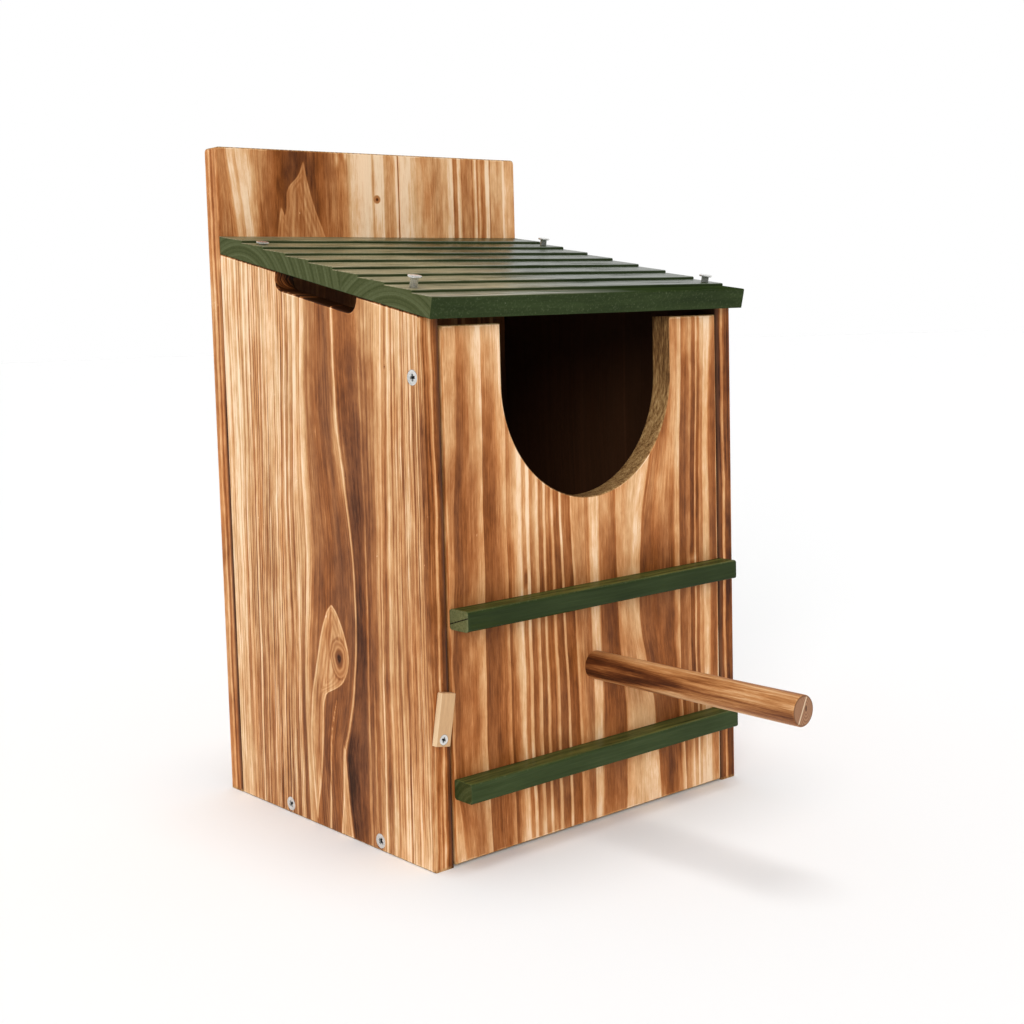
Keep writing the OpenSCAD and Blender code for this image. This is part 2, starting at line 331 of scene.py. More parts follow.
@dataclass(frozen=True)
class Flame:
    """A patch between two growth rings that ends in a point: its edges at each of its own levels."""

    levels: tuple[float, ...]
    left: tuple[float, ...]
    right: tuple[float, ...]

    def inside(self, across: Array, along: Array) -> Array:
        """How far a point is inside the patch, negative outside: the lesser distance to its two edges."""
        low, high = self.levels[0], self.levels[-1]
        left = flowing(along, self.levels, self.left)
        right = flowing(along, self.levels, self.right)
        past = np.maximum(low - along, 0) + np.maximum(along - high, 0)
        return np.minimum(across - left, right - across) - past


@dataclass(frozen=True)
class Touch:
    """A soft round patch of more or less scorching, in places partly painted shade: its middle, its two radii
    and what it adds.
    """

    across: float
    along: float
    wide: float
    tall: float
    adds: float


@dataclass(frozen=True)
class Knot:
    """A knot on a board's face: its middle and its two radii."""

    across: float
    along: float
    wide: float
    tall: float


class RingLines:
    """The fine lines of the growth rings: a sum of sines of the number that the grain carries."""

    WAVES = ((4.7, 0.4, 0.34), (3.1, 2.1, 0.3), (2.03, 4.4, 0.26), (7.9, 1.3, 0.3), (1.31, 3.3, 0.14))

    @classmethod
    def height(cls, number: "Array | Wire", sine: Callable) -> "Array | Wire":
        """Sum of size * sin(2 pi number / length + phase), from about -1 to 1.

        Args:
            number: The grain's number, as an array or a wire.
            sine: The sine for its kind.

        Returns:
            The sum, of the same kind.
        """
        total = 0.0
        for length, phase, size in cls.WAVES:
            total = sine(number * (2 * math.pi / length) + phase) * size + total
        return total


@dataclass(frozen=True)
class Grain:
    """How the grain runs in one board, and how the flame left it."""

    levels: tuple[float, ...]
    guides: tuple[Guide, ...]
    bands: tuple[Band, ...]
    flames: tuple[Flame, ...] = ()
    touches: tuple[Touch, ...] = ()
    knots: tuple[Knot, ...] = ()
    turn: float = 0.6
    seed: float = 0.0

    def number(self, across: Array, along: Array, deep: Array) -> Array:
        """The grain's number: it runs evenly between the guides, wanders a little and turns with the depth.

        Args:
            across: Place across the grain.
            along: Place along the grain.
            deep: Depth under the outer face.

        Returns:
            The number that the fine lines and the bands follow.
        """
        courses = [flowing(along, self.levels, guide.course) for guide in self.guides]
        total = self.guides[0].number + np.minimum(across - courses[0], 0)
        for guide, following, near, far in zip(self.guides, self.guides[1:], courses, courses[1:]):
            share = np.clip((across - near) / (far - near), 0, 1)
            total = total + (following.number - guide.number) * share
        total = total + np.maximum(across - courses[-1], 0)
        middle = (self.guides[0].number + self.guides[-1].number) / 2
        total = total + self.turn * deep * np.tanh((total - middle) / 30)
        for length, size in ((131.0, 0.2), (57.0, 0.12), (23.0, 0.06)):
            total = total + size * np.sin(along * (2 * math.pi / length) + across / 31 + self.seed + length)
        return total

    def flame(self, across: Array, along: Array) -> Array:
        """How far a point is inside the nearest flame, at most 12 either way."""
        inside = np.full_like(across, -12.0)
        for flame in self.flames:
            inside = np.maximum(inside, flame.inside(across, along))
        return np.clip(inside, -12, 12)

    def scorch(self, across: Array, along: Array) -> Array:
        """The sum of the soft patches: each adds * exp(-distance squared)."""
        total = np.zeros_like(across)
        for t in self.touches:
            away = ((across - t.across) / t.wide) ** 2 + ((along - t.along) / t.tall) ** 2
            total = total + t.adds * np.exp(-away)
        return total

    def relief(self, number: Array) -> Array:
        """Depth of the brushed-out early wood under the face, in millimetres."""
        strength = np.interp(number, [b.place for b in self.bands], [b.lines for b in self.bands])
        return 0.11 * strength * np.maximum(1 - RingLines.height(number, np.sin), 0) / 2


# ---- Slabs ----


@dataclass(frozen=True)
class ScrewHole:
    """A countersunk hole in a slab: its middle, its radius on the outer and inner face, and its block."""

    across: float
    along: float
    outer: float
    inner: float
    left: float
    right: float
    low: float
    high: float


class FacePlan:
    """A face as patches of quads in two coordinates, once as the outer and once as the inner face has it."""

    def __init__(self) -> None:
        """Starts an empty plan."""
        self.patches: list[tuple[Array, Array, Array]] = []

    def ruled(self, low: Array, high: Array, shares: Array, inner_high: Array | None = None) -> None:
        """Adds the surface P(u, v) = low(u) + (high(u) - low(u)) * v.

        Args:
            low: Points of one curve.
            high: Points of the other curve, as many.
            shares: The values of v.
            inner_high: The other curve on the inner face, where it differs.
        """
        outer = low + (high - low) * shares[:, None, None]
        inner = outer if inner_high is None else low + (inner_high - low) * shares[:, None, None]
        self.patches.append((outer, inner, np.ones((len(shares) - 1, len(low) - 1), bool)))

    def lattice(self, across: Array, along: Array, holes: Sequence[ScrewHole] = ()) -> None:
        """Adds a grid of straight lines, with round holes where blocks of its cells are taken out.

        Args:
            across: Places of the lines across.
            along: Places of the lines along.
            holes: Holes whose blocks have their edges on these lines.
        """
        grid = np.stack(np.meshgrid(across, along), -1)
        kept = np.ones((len(along) - 1, len(across) - 1), bool)
        for hole in holes:
            i0, i1 = (int(np.abs(across - x).argmin()) for x in (hole.left, hole.right))
            j0, j1 = (int(np.abs(along - z).argmin()) for z in (hole.low, hole.high))
            kept[j0:j1, i0:i1] = False
            rim = np.concatenate(
                [
                    grid[j0, i0:i1],
                    grid[j0:j1, i1],
                    grid[j1, i0 + 1 : i1 + 1][::-1],
                    grid[j0 : j1 + 1, i0][::-1],
                ]
            )
            middle = np.array([hole.across, hole.along])
            ray = (rim - middle) / np.linalg.norm(rim - middle, axis=1)[:, None]
            shares = np.array([0, 0.4, 0.75, 1.0])
            self.ruled(rim, middle + ray * hole.outer, shares, middle + ray * hole.inner)
        self.patches.append((grid, grid, kept))

    def welded(self) -> tuple[Array, Array, Array]:
        """Joins the patches where their points meet.

        Returns:
            The points of the outer face, those of the inner face, and the triangles, counter-clockwise.
        """
        outer_all, inner_all, tri_all, count = [], [], [], 0
        for outer, inner, kept in self.patches:
            rows, columns = outer.shape[:2]
            index = np.arange(rows * columns).reshape(rows, columns) + count
            a, b, c, d = index[:-1, :-1], index[:-1, 1:], index[1:, 1:], index[1:, :-1]
            tris = np.concatenate([np.stack([a, b, c], -1)[kept], np.stack([a, c, d], -1)[kept]])
            flat = outer.reshape(-1, 2)
            corner = flat[tris - count]
            side, other = corner[:, 1] - corner[:, 0], corner[:, 2] - corner[:, 0]
            if (side[:, 0] * other[:, 1] - side[:, 1] * other[:, 0]).sum() < 0:
                tris = tris[:, ::-1]
            outer_all.append(flat)
            inner_all.append(inner.reshape(-1, 2))
            tri_all.append(tris)
            count += rows * columns
        outer_points, inner_points = np.concatenate(outer_all), np.concatenate(inner_all)
        key = np.round(outer_points * 1000).astype(np.int64)
        _, first, inverse = np.unique(key, axis=0, return_index=True, return_inverse=True)
        tris = inverse.reshape(-1)[np.concatenate(tri_all)]
        whole = (tris[:, 0] != tris[:, 1]) & (tris[:, 1] != tris[:, 2]) & (tris[:, 2] != tris[:, 0])
        return outer_points[first], inner_points[first], tris[whole]


@dataclass
class Slab:
    """A face plan carried through a thickness, with eased arrises and countersunk holes.

    The wall's rings follow the rim of the face. With the arris radius r, a ring at the angle t lies
    r * sin(t) outside the plan and r * (1 - cos(t)) under the face.
    """

    plan: FacePlan
    thick: float
    arris: float = 0.8
    pitch: float = 1.0
    rim: float = 0.35
    points: Array = field(init=False)
    tris: Array = field(init=False)
    on_face: Array = field(init=False)
    on_arris: Array = field(init=False)
    outward: Array = field(init=False)

    def __post_init__(self) -> None:
        """Works out the points as (across, along, deep), the triangles and the marks."""
        outer, inner, tris = self.plan.welded()
        count = len(outer)
        edges = np.concatenate([tris[:, [0, 1]], tris[:, [1, 2]], tris[:, [2, 0]]])
        forward = edges[:, 0] * count + edges[:, 1]
        backward = edges[:, 1] * count + edges[:, 0]
        rim = edges[~np.isin(forward, backward)]
        near = np.unique(rim)
        place = np.full(count, -1)
        place[near] = np.arange(len(near))
        miter = self.miters(outer, rim, place, len(near))
        is_hole = np.any(np.abs(outer[near] - inner[near]) > 1e-6, axis=1)
        depths, offsets = self.rings()
        middle_gap = inner[near] - outer[near]
        reach = np.maximum(np.linalg.norm(middle_gap, axis=1), 1e-9)
        head_outside = (miter * middle_gap).sum(1) > 0
        rings = []
        for depth, offset in zip(depths, offsets):
            down = np.clip((depth - self.rim) / reach, 0, 1)
            up = 1 - np.clip((self.thick - depth - self.rim) / reach, 0, 1)
            share = np.where(head_outside, down, up)[:, None]
            hole = outer[near] + middle_gap * share
            flat = np.where(is_hole[:, None], hole, outer[near] + miter * offset)
            rings.append(np.column_stack([flat, np.full(len(near), depth)]))
        self.points = np.concatenate(
            [
                np.column_stack([outer, np.zeros(count)]),
                np.column_stack([inner, np.full(count, self.thick)]),
                *rings,
            ]
        )
        a, b = place[rim[:, 0]], place[rim[:, 1]]
        levels = [near, *(2 * count + k * len(near) + np.arange(len(near)) for k in range(len(rings)))]
        levels.append(near + count)
        walls = []
        for upper, lower in zip(levels, levels[1:]):
            walls.append(np.stack([upper[a], lower[a], lower[b]], -1))
            walls.append(np.stack([upper[a], lower[b], upper[b]], -1))
        self.tris = np.concatenate([tris, tris[:, ::-1] + count, *walls])
        total = len(self.points)
        self.on_face = np.arange(total) < 2 * count
        self.outward = np.zeros((total, 2))
        ring_count = len(rings)
        self.outward[2 * count :] = np.tile(miter, (ring_count, 1))
        outline = near[~is_hole]
        self.outward[outline] = miter[~is_hole]
        self.outward[outline + count] = miter[~is_hole]
        self.on_arris = np.zeros(total)
        self.on_arris[outline] = 1
        self.on_arris[outline + count] = 1
        turned = (np.arange(ring_count) < 3) | (np.arange(ring_count) >= ring_count - 3)
        self.on_arris[2 * count :] = np.outer(turned, ~is_hole).ravel()

    def rings(self) -> tuple[Array, Array]:
        """Depth and offset of each ring of the wall, from the outer face's arris to the inner one's."""
        angle = np.radians([32, 62, 90])
        depth = self.arris * (1 - np.cos(angle))
        offset = self.arris * np.sin(angle)
        straight = spread([self.arris, self.thick - self.arris], [self.pitch])[1:-1]
        depths = np.concatenate([depth, straight, self.thick - depth[::-1]])
        offsets = np.concatenate([offset, np.full(len(straight), self.arris), offset[::-1]])
        return depths, offsets

    @staticmethod
    def miters(points: Array, rim: Array, place: Array, count: int) -> Array:
        """The step out of the plan at each point of the rim, which moves both its edges by 1.

        Args:
            points: The plan's points.
            rim: The directed edges of the rim, with the plan on their left.
            place: Each point's number among the rim's points.
            count: How many points the rim has.

        Returns:
            (n1 + n2) / (1 + n1 . n2) for the outward normals n1 and n2 of the two edges.
        """
        run = points[rim[:, 1]] - points[rim[:, 0]]
        run = run / np.linalg.norm(run, axis=1)[:, None]
        normal = np.column_stack([run[:, 1], -run[:, 0]])
        leaving, coming = np.zeros((count, 2)), np.zeros((count, 2))
        leaving[place[rim[:, 0]]] = normal
        coming[place[rim[:, 1]]] = normal
        dot = (leaving * coming).sum(1)
        return (leaving + coming) / np.maximum(1 + dot, 0.35)[:, None]


@dataclass(frozen=True)
class Seat:
    """Where a slab lies: its origin and the directions across, along and into it."""

    origin: tuple[float, float, float]
    across: tuple[float, float, float]
    along: tuple[float, float, float]
    inward: tuple[float, float, float]

    def place(self, points: Array) -> Array:
        """Points of the slab in the frame, in millimetres."""
        axes = np.array([self.across, self.along, self.inward])
        return np.array(self.origin) + points @ axes


def facing_out(points: Array, tris: Array) -> Array:
    """A closed surface's triangles, turned outwards: the sum of a . (b x c) over them is above 0."""
    a, b, c = (points[tris[:, k]] for k in range(3))
    return tris if (a * np.cross(b, c)).sum() > 0 else tris[:, ::-1]


@dataclass(frozen=True)
class Role:
    """The solid that a piece stands for, the ending of its name, the body that it rides and its slot."""

    node: str
    ending: str
    body: str
    slot: str


def add_piece(
    role: Role,
    points: Array,
    tris: Array,
    marks: dict[str, Array],
    material: bpy.types.Material,
    smooth: float = 40,
) -> None:
    """Makes an object at the origin, dresses it and settles it on its body.

    Args:
        role: What it stands for.
        points: Its points in the frame, in millimetres.
        tris: Its triangles.
        marks: Numbers at each point, by attribute name.
        material: Its material.
        smooth: The angle in degrees over which an edge stays sharp.
    """
    name = role.node + role.ending
    mesh = bpy.data.meshes.new(name)
    mesh.from_pydata(points * MM, [], facing_out(points, tris).tolist())
    for mark, values in marks.items():
        data = mesh.attributes.new(mark, "FLOAT", "POINT").data
        data.foreach_set("value", np.asarray(values, np.float32))
    mesh.shade_smooth()
    mesh.set_sharp_from_angle(angle=math.radians(smooth))
    mesh.update()
    mesh.materials.append(material)
    piece = bpy.data.objects.new(name, mesh)
    bpy.context.scene.collection.objects.link(piece)
    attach(piece, role.body)
    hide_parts(role.node)
    LOG.info("%s: %d points, %d faces", name, len(mesh.vertices), len(mesh.polygons))


# ---- Finishes ----


class Hue(Enum):
    """Colours of the scorched wood, from the palest to the darkest."""

    HONEY = ("#FCDEBB", "#E3BA8A", "#C99563", "#A56B3E", "#84502E", "#61371F", "#331803")
    RUSSET = ("#FFDCB6", "#E8B27C", "#CB8850", "#A86331", "#854819", "#60300D", "#331202")


@dataclass(frozen=True)
class ScorchedFir:
    """Fir boards that a flame has browned and a brush has worked over."""

    name: str
    grain: Grain
    hue_share: float
    flame_tone: float = 0.3
    flame_share: float = 1.0
    flame_rim: float = 0.2
    across_axis: int = 0
    along_axis: int = 2
    red_below: float = -1000.0
    drift: float = 0.35
    loose: float = 1.0
    end_rings: float = 0.1

    def read_bands(self, recipe: Recipe, number: Wire) -> tuple[Wire, Wire]:
        """Tone and line strength at a number of the grain, from ramps of at most 30 stops each.

        Args:
            recipe: The graph.
            number: The grain's number.

        Returns:
            The tone and the strength of the lines.
        """
        bands = self.grain.bands
        read = None
        for start in range(0, len(bands) - 1, 29):
            some = bands[start : start + 30]
            low, high = some[0].place, some[-1].place
            stops = [((b.place - low) / (high - low), (b.tone, b.lines, 0.0, 1.0)) for b in some]
            part = recipe.ramp((number - low) / (high - low), stops)
            read = part if read is None else recipe.blend(number.over(low), read, part)
        tone, lines, _ = recipe.channels(read)
        return tone, lines

    def material(self) -> bpy.types.Material:
        """Builds the finish."""
        recipe = Recipe(self.name)
        number = recipe.attribute("grain")
        end = recipe.attribute("end")
        x, y, z = recipe.axes()
        across = (x, y, z)[self.across_axis]
        along = (x, y, z)[self.along_axis]
        drift = recipe.noise((number * 0.9, along * 0.006, self.grain.seed + 3), 2)
        tone, lines = self.read_bands(recipe, number + drift * self.drift)
        tone = self.add_flame(recipe, tone)
        detail, ridges = self.draw_lines(recipe, number, along, lines)
        dark = tone + recipe.attribute("scorch") * tone.step(0.1, 0.6, 0.6, 1.0) + detail
        for knot in self.grain.knots:
            dark = self.add_knot(recipe, dark, knot, across, along)
        # Painted shade inside the box: the tone is drawn nearly to the darkest, with no pale nicks.
        inside = recipe.attribute("inside")
        dark = dark + (0.98 - dark) * inside * 0.88
        nicks = recipe.noise((x * 0.45, y * 0.45, z * 0.22 + 3), 1, 0.6)
        dark = dark - nicks.step(0.98, 1.1) * (1 - inside) * 0.3
        # Paler arrises: worn wood, with a painted highlight along the edge.
        worn_edge_and_highlight = recipe.noise((x * 0.09, y * 0.09, z * 0.03), 3) * 0.8 + 0.75
        dark = dark - (recipe.attribute("arris") * worn_edge_and_highlight).step(0.35, 1.1) * 0.2
        turn = recipe.noise((number * 0.09, along * 0.012, self.grain.seed + 21), 2)
        turn = turn * 0.7 + self.hue_share + number.step(self.red_below - 1.0, self.red_below, 0.7, 0.0)
        # Inside the box the painted shade also keeps the hue off the russet ramp.
        turn = (turn - inside * 0.85).most(0.0).least(1.0)
        places = (0.0, 0.18, 0.36, 0.54, 0.7, 0.85, 1.0)
        color = recipe.blend(turn, *(recipe.shade(dark, places, hue.value) for hue in Hue))
        # Painted shade: a dark brown sheet over the box's inner faces.
        color = recipe.blend(inside * 0.55, color, "#292018")

        reach = [1.3, 1.3, 1.3]
        reach[self.along_axis] = 0.16
        speck = recipe.noise((x * reach[0], y * reach[1], z * reach[2]), 4, 0.7)
        pores = recipe.noise((x * 0.4, y * 0.4, z * 0.1), 2)
        deep = (x, y, z)[3 - self.across_axis - self.along_axis]
        rings = (number * 2.1 + deep * 0.8 + pores * 1.6).sine() * self.end_rings
        marked = speck * 0.27 + 0.52 + rings + pores * 0.12 - recipe.attribute("scorch") * 0.4
        sawn = recipe.shade(marked, (0.2, 0.42, 0.6, 0.85), ("#2E1B0D", "#7A5632", "#AD8756", "#DBB985"))
        color = recipe.blend(end, color, sawn)
        recipe.bump(ridges + speck * end * 0.3, 0.16)
        rough = 0.6 + ridges * 0.1 + end * 0.15
        return recipe.finish(Base_Color=color, Roughness=rough, Specular_IOR_Level=0.2)

    def draw_lines(self, recipe: Recipe, number: Wire, along: Wire, lines: Wire) -> tuple[Wire, Wire]:
        """Draws the growth rings, streaks, hairlines, fibres and smoke.

        Args:
            recipe: The graph.
            number: The grain's number.
            along: Place along the grain.
            lines: How strong the lines are.

        Returns:
            What they add to the darkness, and the height of the brushed ridges.
        """
        seed = self.grain.seed

        def layer(fine: float, long: float, shift: float, detail: float = 2.0) -> Wire:
            """Noise drawn out along the grain."""
            return recipe.noise((number * fine, along * long, seed + shift), detail, 0.6)

        def strand(course: tuple[float, ...], width: float, gate: tuple[float, ...]) -> Wire:
            """Thin lines along the grain, broken off where a second noise is low."""
            line = layer(*course, 1).size().step(0.0, width, 1.0, 0.0)
            return line * layer(*gate).step(-0.3, 0.3)

        smoke = layer(0.06, 0.016, 7, 3)
        puff = layer(0.3, 0.05, 13, 3)
        broad = layer(0.26, 0.005, 1)
        narrow = layer(0.85, 0.007, 5)
        thread = layer(2.4, 0.02, 11, 3)
        fibre = layer(6.0, 0.16, 17, 3)
        hair = strand((0.5, 0.0035, 23), 0.14, (0.8, 0.01, 27))
        seam = strand((0.42, 0.004, 31), 0.1, (0.7, 0.01, 37))
        rings = RingLines.height(number + smoke * 0.15, Wire.sine)
        year = (number * 0.47 + narrow * 0.5).fraction()
        spell = (number * 0.19 + broad * 0.6).fraction()
        pore = layer(3.1, 0.33, 41, 1).step(0.55, 0.95)
        free = (year * year - 0.33) * (lines * 0.2 + 0.04) + (spell - 0.5) * (lines * 0.14 + 0.04)
        free = free + broad * (lines * 0.14 + 0.05) + narrow * (lines * 0.2 + 0.06) - rings * lines * 0.1
        free = free - hair * (lines * 0.2 + 0.06) + seam * (lines * 0.16 + 0.04)
        mottle = layer(0.16, 0.07, 51, 4)
        detail = smoke * 0.16 + puff * 0.12 + mottle * 0.09 + fibre * 0.13 + pore * 0.12
        detail = detail + thread * (lines * 0.12 + 0.07)
        detail = detail + free * self.loose
        ridges = rings * lines * 0.25 + thread * 0.12 + fibre * 0.14 + hair * 0.15 - pore * 0.3 + 0.5
        return detail, ridges

    def add_flame(self, recipe: Recipe, tone: Wire) -> Wire:
        """Lays the tone of the flames over the tone of the bands, with a pale line round them."""
        if not self.grain.flames:
            return tone
        depth = recipe.attribute("patch")
        lit = depth.step(-0.25, 0.35) * self.flame_share
        contour = (depth * 1.9).sine() * 0.05
        tone = tone + (self.flame_tone + contour - tone) * lit
        return tone - (1 - (depth - 0.5).size().step(0.3, 1.3)) * self.flame_rim

    def add_knot(self, recipe: Recipe, dark: Wire, knot: Knot, across: Wire, along: Wire) -> Wire:
        """Draws a knot's own rings over the wood.

        Args:
            recipe: The graph.
            dark: How dark the wood is.
            knot: The knot.
            across: Place across the grain.
            along: Place along the grain.

        Returns:
            How dark the wood is with the knot.
        """
        blur = recipe.noise((across * 0.16, along * 0.16, knot.along), 3) * 0.1
        side = (across - knot.across) / knot.wide
        rise = (along - knot.along) / knot.tall
        away = (side * side + rise * rise).root() + blur
        rings = (away * 19.0).sine() * 0.07
        core = away.step(0.08, 0.6, 0.95, 0.45)
        inside = away.step(0.8, 1.04, 1.0, 0.0)
        rim = (1 - (away - 1.0).size().step(0.02, 0.14)) * 0.16
        return dark + (core + rings - dark) * inside + rim


@dataclass(frozen=True)
class GreenStain:
    """Green stain on planed fir, sheer enough for the grain to show, with a soft gloss and a paler painted
    light on upward faces.
    """

    name: str
    bare_end: float | None = None
    # Colour of the painted light on upward faces.
    painted_light: str = "#6B6A35"
    lift: float = 0.0
    cut_lift: float = 0.0
    haze: float = 0.16
    sheen: float = 1.5
    coat: float = 0.2

    def material(self) -> bpy.types.Material:
        """Builds the finish."""
        recipe = Recipe(self.name)
        number = recipe.attribute("grain")
        end = recipe.attribute("end")
        x, y, z = recipe.axes()
        streak = recipe.noise((x * 0.02, number * 0.5, 4.0), 3, 0.6)
        fine = recipe.noise((x * 0.09, number * 2.6, 9.0), 3, 0.6)
        patch = recipe.noise((x * 0.018, y * 0.05, z * 0.05), 2)
        speck = recipe.noise((x * 0.9, y * 0.9, z * 0.9), 3, 0.7)
        dark = streak * 0.16 + fine * 0.08 + patch * 0.12 + 0.5 + self.lift
        codes = ("#121D09", "#1E2A10", "#2A3619", "#344122", "#475333")
        side = recipe.shade(dark, (0.05, 0.3, 0.5, 0.7, 0.98), codes)
        rings = (number * 2.05 + streak * 0.8).sine() * 0.075 + (number * 0.83 + 1.0).sine() * 0.09
        grit = recipe.noise((x * 0.4, number * 1.4, speck * 0.2), 3, 0.7)
        dark = rings + grit * 0.19 + speck * 0.12 + 0.5 + self.cut_lift
        cut = recipe.shade(dark, (0.08, 0.35, 0.6, 0.9), ("#1E260E", "#333A1D", "#454B2B", "#5A6040"))
        color = recipe.blend(end, side, cut)
        # Painted light on upward faces: the battens' lit tops, and on the roof the tan painted reflection of
        # the back board.
        painted_light = recipe.attribute("sun") * (streak * 1.2 + fine * 0.6 + 0.82)
        color = recipe.blend(painted_light.most(0.0).least(1.0), color, self.painted_light)
        dots = recipe.noise((x * 0.42, y * 0.42, z * 0.42 + 7), 1)
        color = recipe.blend(dots.step(1.02, 1.12) * 0.7, color, "#9DA38C")
        # Paler arrises: worn stain, with a painted highlight along the edge.
        worn_edge_and_highlight = (recipe.attribute("arris") * (speck * 0.5 + 0.5)).step(0.5, 1.1)
        color = recipe.blend(worn_edge_and_highlight * 0.45, color, "#76805F")
        if self.bare_end is not None:
            color = self.bare(recipe, color, x, y, z, speck)
        recipe.bump(fine * 0.3 + streak * 0.3 + 0.5 + end * rings * 0.4, 0.12)
        rough = 0.21 + fine * 0.04 + patch * 0.05 + end * 0.4
        gloss = recipe.attribute("gloss") * (streak * 1.5 + fine * 0.7 + 0.9) + self.coat
        return recipe.finish(
            Base_Color=color,
            Roughness=rough,
            Specular_IOR_Level=0.0,
            Coat_Weight=gloss.most(0.0).least(1.0),
            Coat_Roughness=self.haze,
            Coat_IOR=self.sheen,
        )

    def bare(self, recipe: Recipe, color: Wire, x: Wire, y: Wire, z: Wire, speck: Wire) -> Wire:
        """Draws the pale, checked end of the upper batten.

        Args:
            recipe: The graph.
            color: The stain's colour.
            x: Place along the batten.
            y: Place across it.
            z: Height.
            speck: Fine noise.

        Returns:
            The colour with the pale end.
        """
        at_end = x.step(self.bare_end + 0.3, self.bare_end + 1.0, 1.0, 0.0)
        paint = recipe.shade(speck * 0.25 + 0.5, (0.15, 0.85), ("#3C4326", "#86855A"))
        color = recipe.blend(at_end * 0.85, color, paint)
        check = (z - 122.6 - (y + 33.0) * -0.33 + speck * 0.25).size().step(0.15, 0.45, 1.0, 0.0)
        return recipe.blend(check * at_end, color, "#1E1A12")


@dataclass(frozen=True)
class Dowel:
    """A turned stick scorched near its root, with its grain along Y and its end cut square."""

    name: str
    middle_x: float
    middle_z: float

    def material(self) -> bpy.types.Material:
        """Builds the finish."""
        recipe = Recipe(self.name)
        x, y, z = recipe.axes()
        across, up = x - self.middle_x, z - self.middle_z
        broad = recipe.noise((across * 0.16, y * 0.014, up * 0.16), 3, 0.5, 0.3)
        streak = recipe.noise((across * 0.5, y * 0.02, up * 0.5 + 5), 3, 0.6)
        thread = recipe.noise((across * 1.8, y * 0.045, up * 1.8), 3, 0.6)
        fibre = recipe.noise((across * 4.5, y * 0.25, up * 4.5), 3, 0.6)
        near = y.step(-132.0, -30.0)
        away = (up - 0.5 + streak * 1.6 + broad * 1.8).size() - near * 6.2 - 0.1
        flame = away.step(-3.2, 1.6, 1.0, 0.0) * near.step(0.02, 0.45)
        dark = flame * 0.6 + broad * 0.46 + streak * 0.3 + thread * 0.2 + fibre * 0.14 + 0.315
        codes = ("#D9AE80", "#B57D4B", "#8A542C", "#5C3016", "#2E1308")
        color = recipe.shade(dark, (0.0, 0.25, 0.5, 0.72, 1.0), codes)
        color = recipe.blend(recipe.attribute("end"), color, self.cut(recipe, across, up, fibre))
        recipe.bump(thread * 0.3 + fibre * 0.2 + 0.5, 0.12)
        rough = 0.5 + thread * 0.05
        return recipe.finish(Base_Color=color, Roughness=rough, Specular_IOR_Level=0.25)

    def cut(self, recipe: Recipe, across: Wire, up: Wire, fibre: Wire) -> Wire:
        """The dowel's cut end: rings round a small dark knot, a pale check and a darker rim of painted shade.

        Args:
            recipe: The graph.
            across: Place across the end.
            up: Height over the end's middle.
            fibre: Fine noise.

        Returns:
            The end's colour.
        """
        side, rise = (across - 1.9) * 0.8, (up - 0.9) * 0.42
        away = (side * side + rise * rise).root()
        rings = (away * 9.0 + fibre * 0.4).sine() * 0.16 + fibre * 0.1 + 0.5
        color = recipe.shade(rings, (0.2, 0.8), ("#774A32", "#B28560"))
        color = recipe.blend(away.step(0.35, 0.75, 0.9, 0.0), color, "#54331F")
        check = (across + 0.75 - up * 0.5).size().step(0.2, 0.6, 0.85, 0.0)
        color = recipe.blend(check, color, "#E6CCAB")
        # Painted shade round the end's eased edge.
        rim = (across * across + up * up).root().step(6.2, 7.2)
        return recipe.blend(rim, color, "#6A452B")


@dataclass(frozen=True)
class PaleWood:
    """Unscorched wood of the turn button, with its grain along the button."""

    name: str
    middle_x: float
    middle_z: float
    lean: float

    def material(self) -> bpy.types.Material:
        """Builds the finish."""
        recipe = Recipe(self.name)
        arris = recipe.attribute("arris")
        end = recipe.attribute("end")
        x, y, z = recipe.axes()
        turn = math.radians(self.lean)
        across = (x - self.middle_x) * math.cos(turn) - (z - self.middle_z) * math.sin(turn)
        along = (x - self.middle_x) * math.sin(turn) + (z - self.middle_z) * math.cos(turn)
        streak = recipe.noise((across * 0.8, along * 0.05, y * 0.8), 3, 0.6)
        fine = recipe.noise((across * 3.6, along * 0.3, y * 3.6), 3, 0.6)
        dark = 0.4 + streak * 0.12 + fine * 0.08 + arris * 0.06 + end * 0.1
        color = recipe.shade(dark, (0.1, 0.35, 0.6, 0.9), ("#E9CBA2", "#D2AA7C", "#BC9068", "#94693F"))
        edge = across.step(-4.3, -3.9, 1.0, 0.0)
        color = recipe.blend(edge * 0.55, color, "#EBD0A8")
        recipe.bump(fine * 0.3 + streak * 0.2 + 0.5, 0.08)
        return recipe.finish(Base_Color=color, Roughness=0.55 + fine * 0.05, Specular_IOR_Level=0.4)


class Zinc(Enum):
    """Two states of zinc on steel: its colour, its duller colour and its roughness."""

    BRIGHT = ("#EDECE8", "#949491", 0.17)
    DULL = ("#E2E4E3", "#9A9D9F", 0.26)


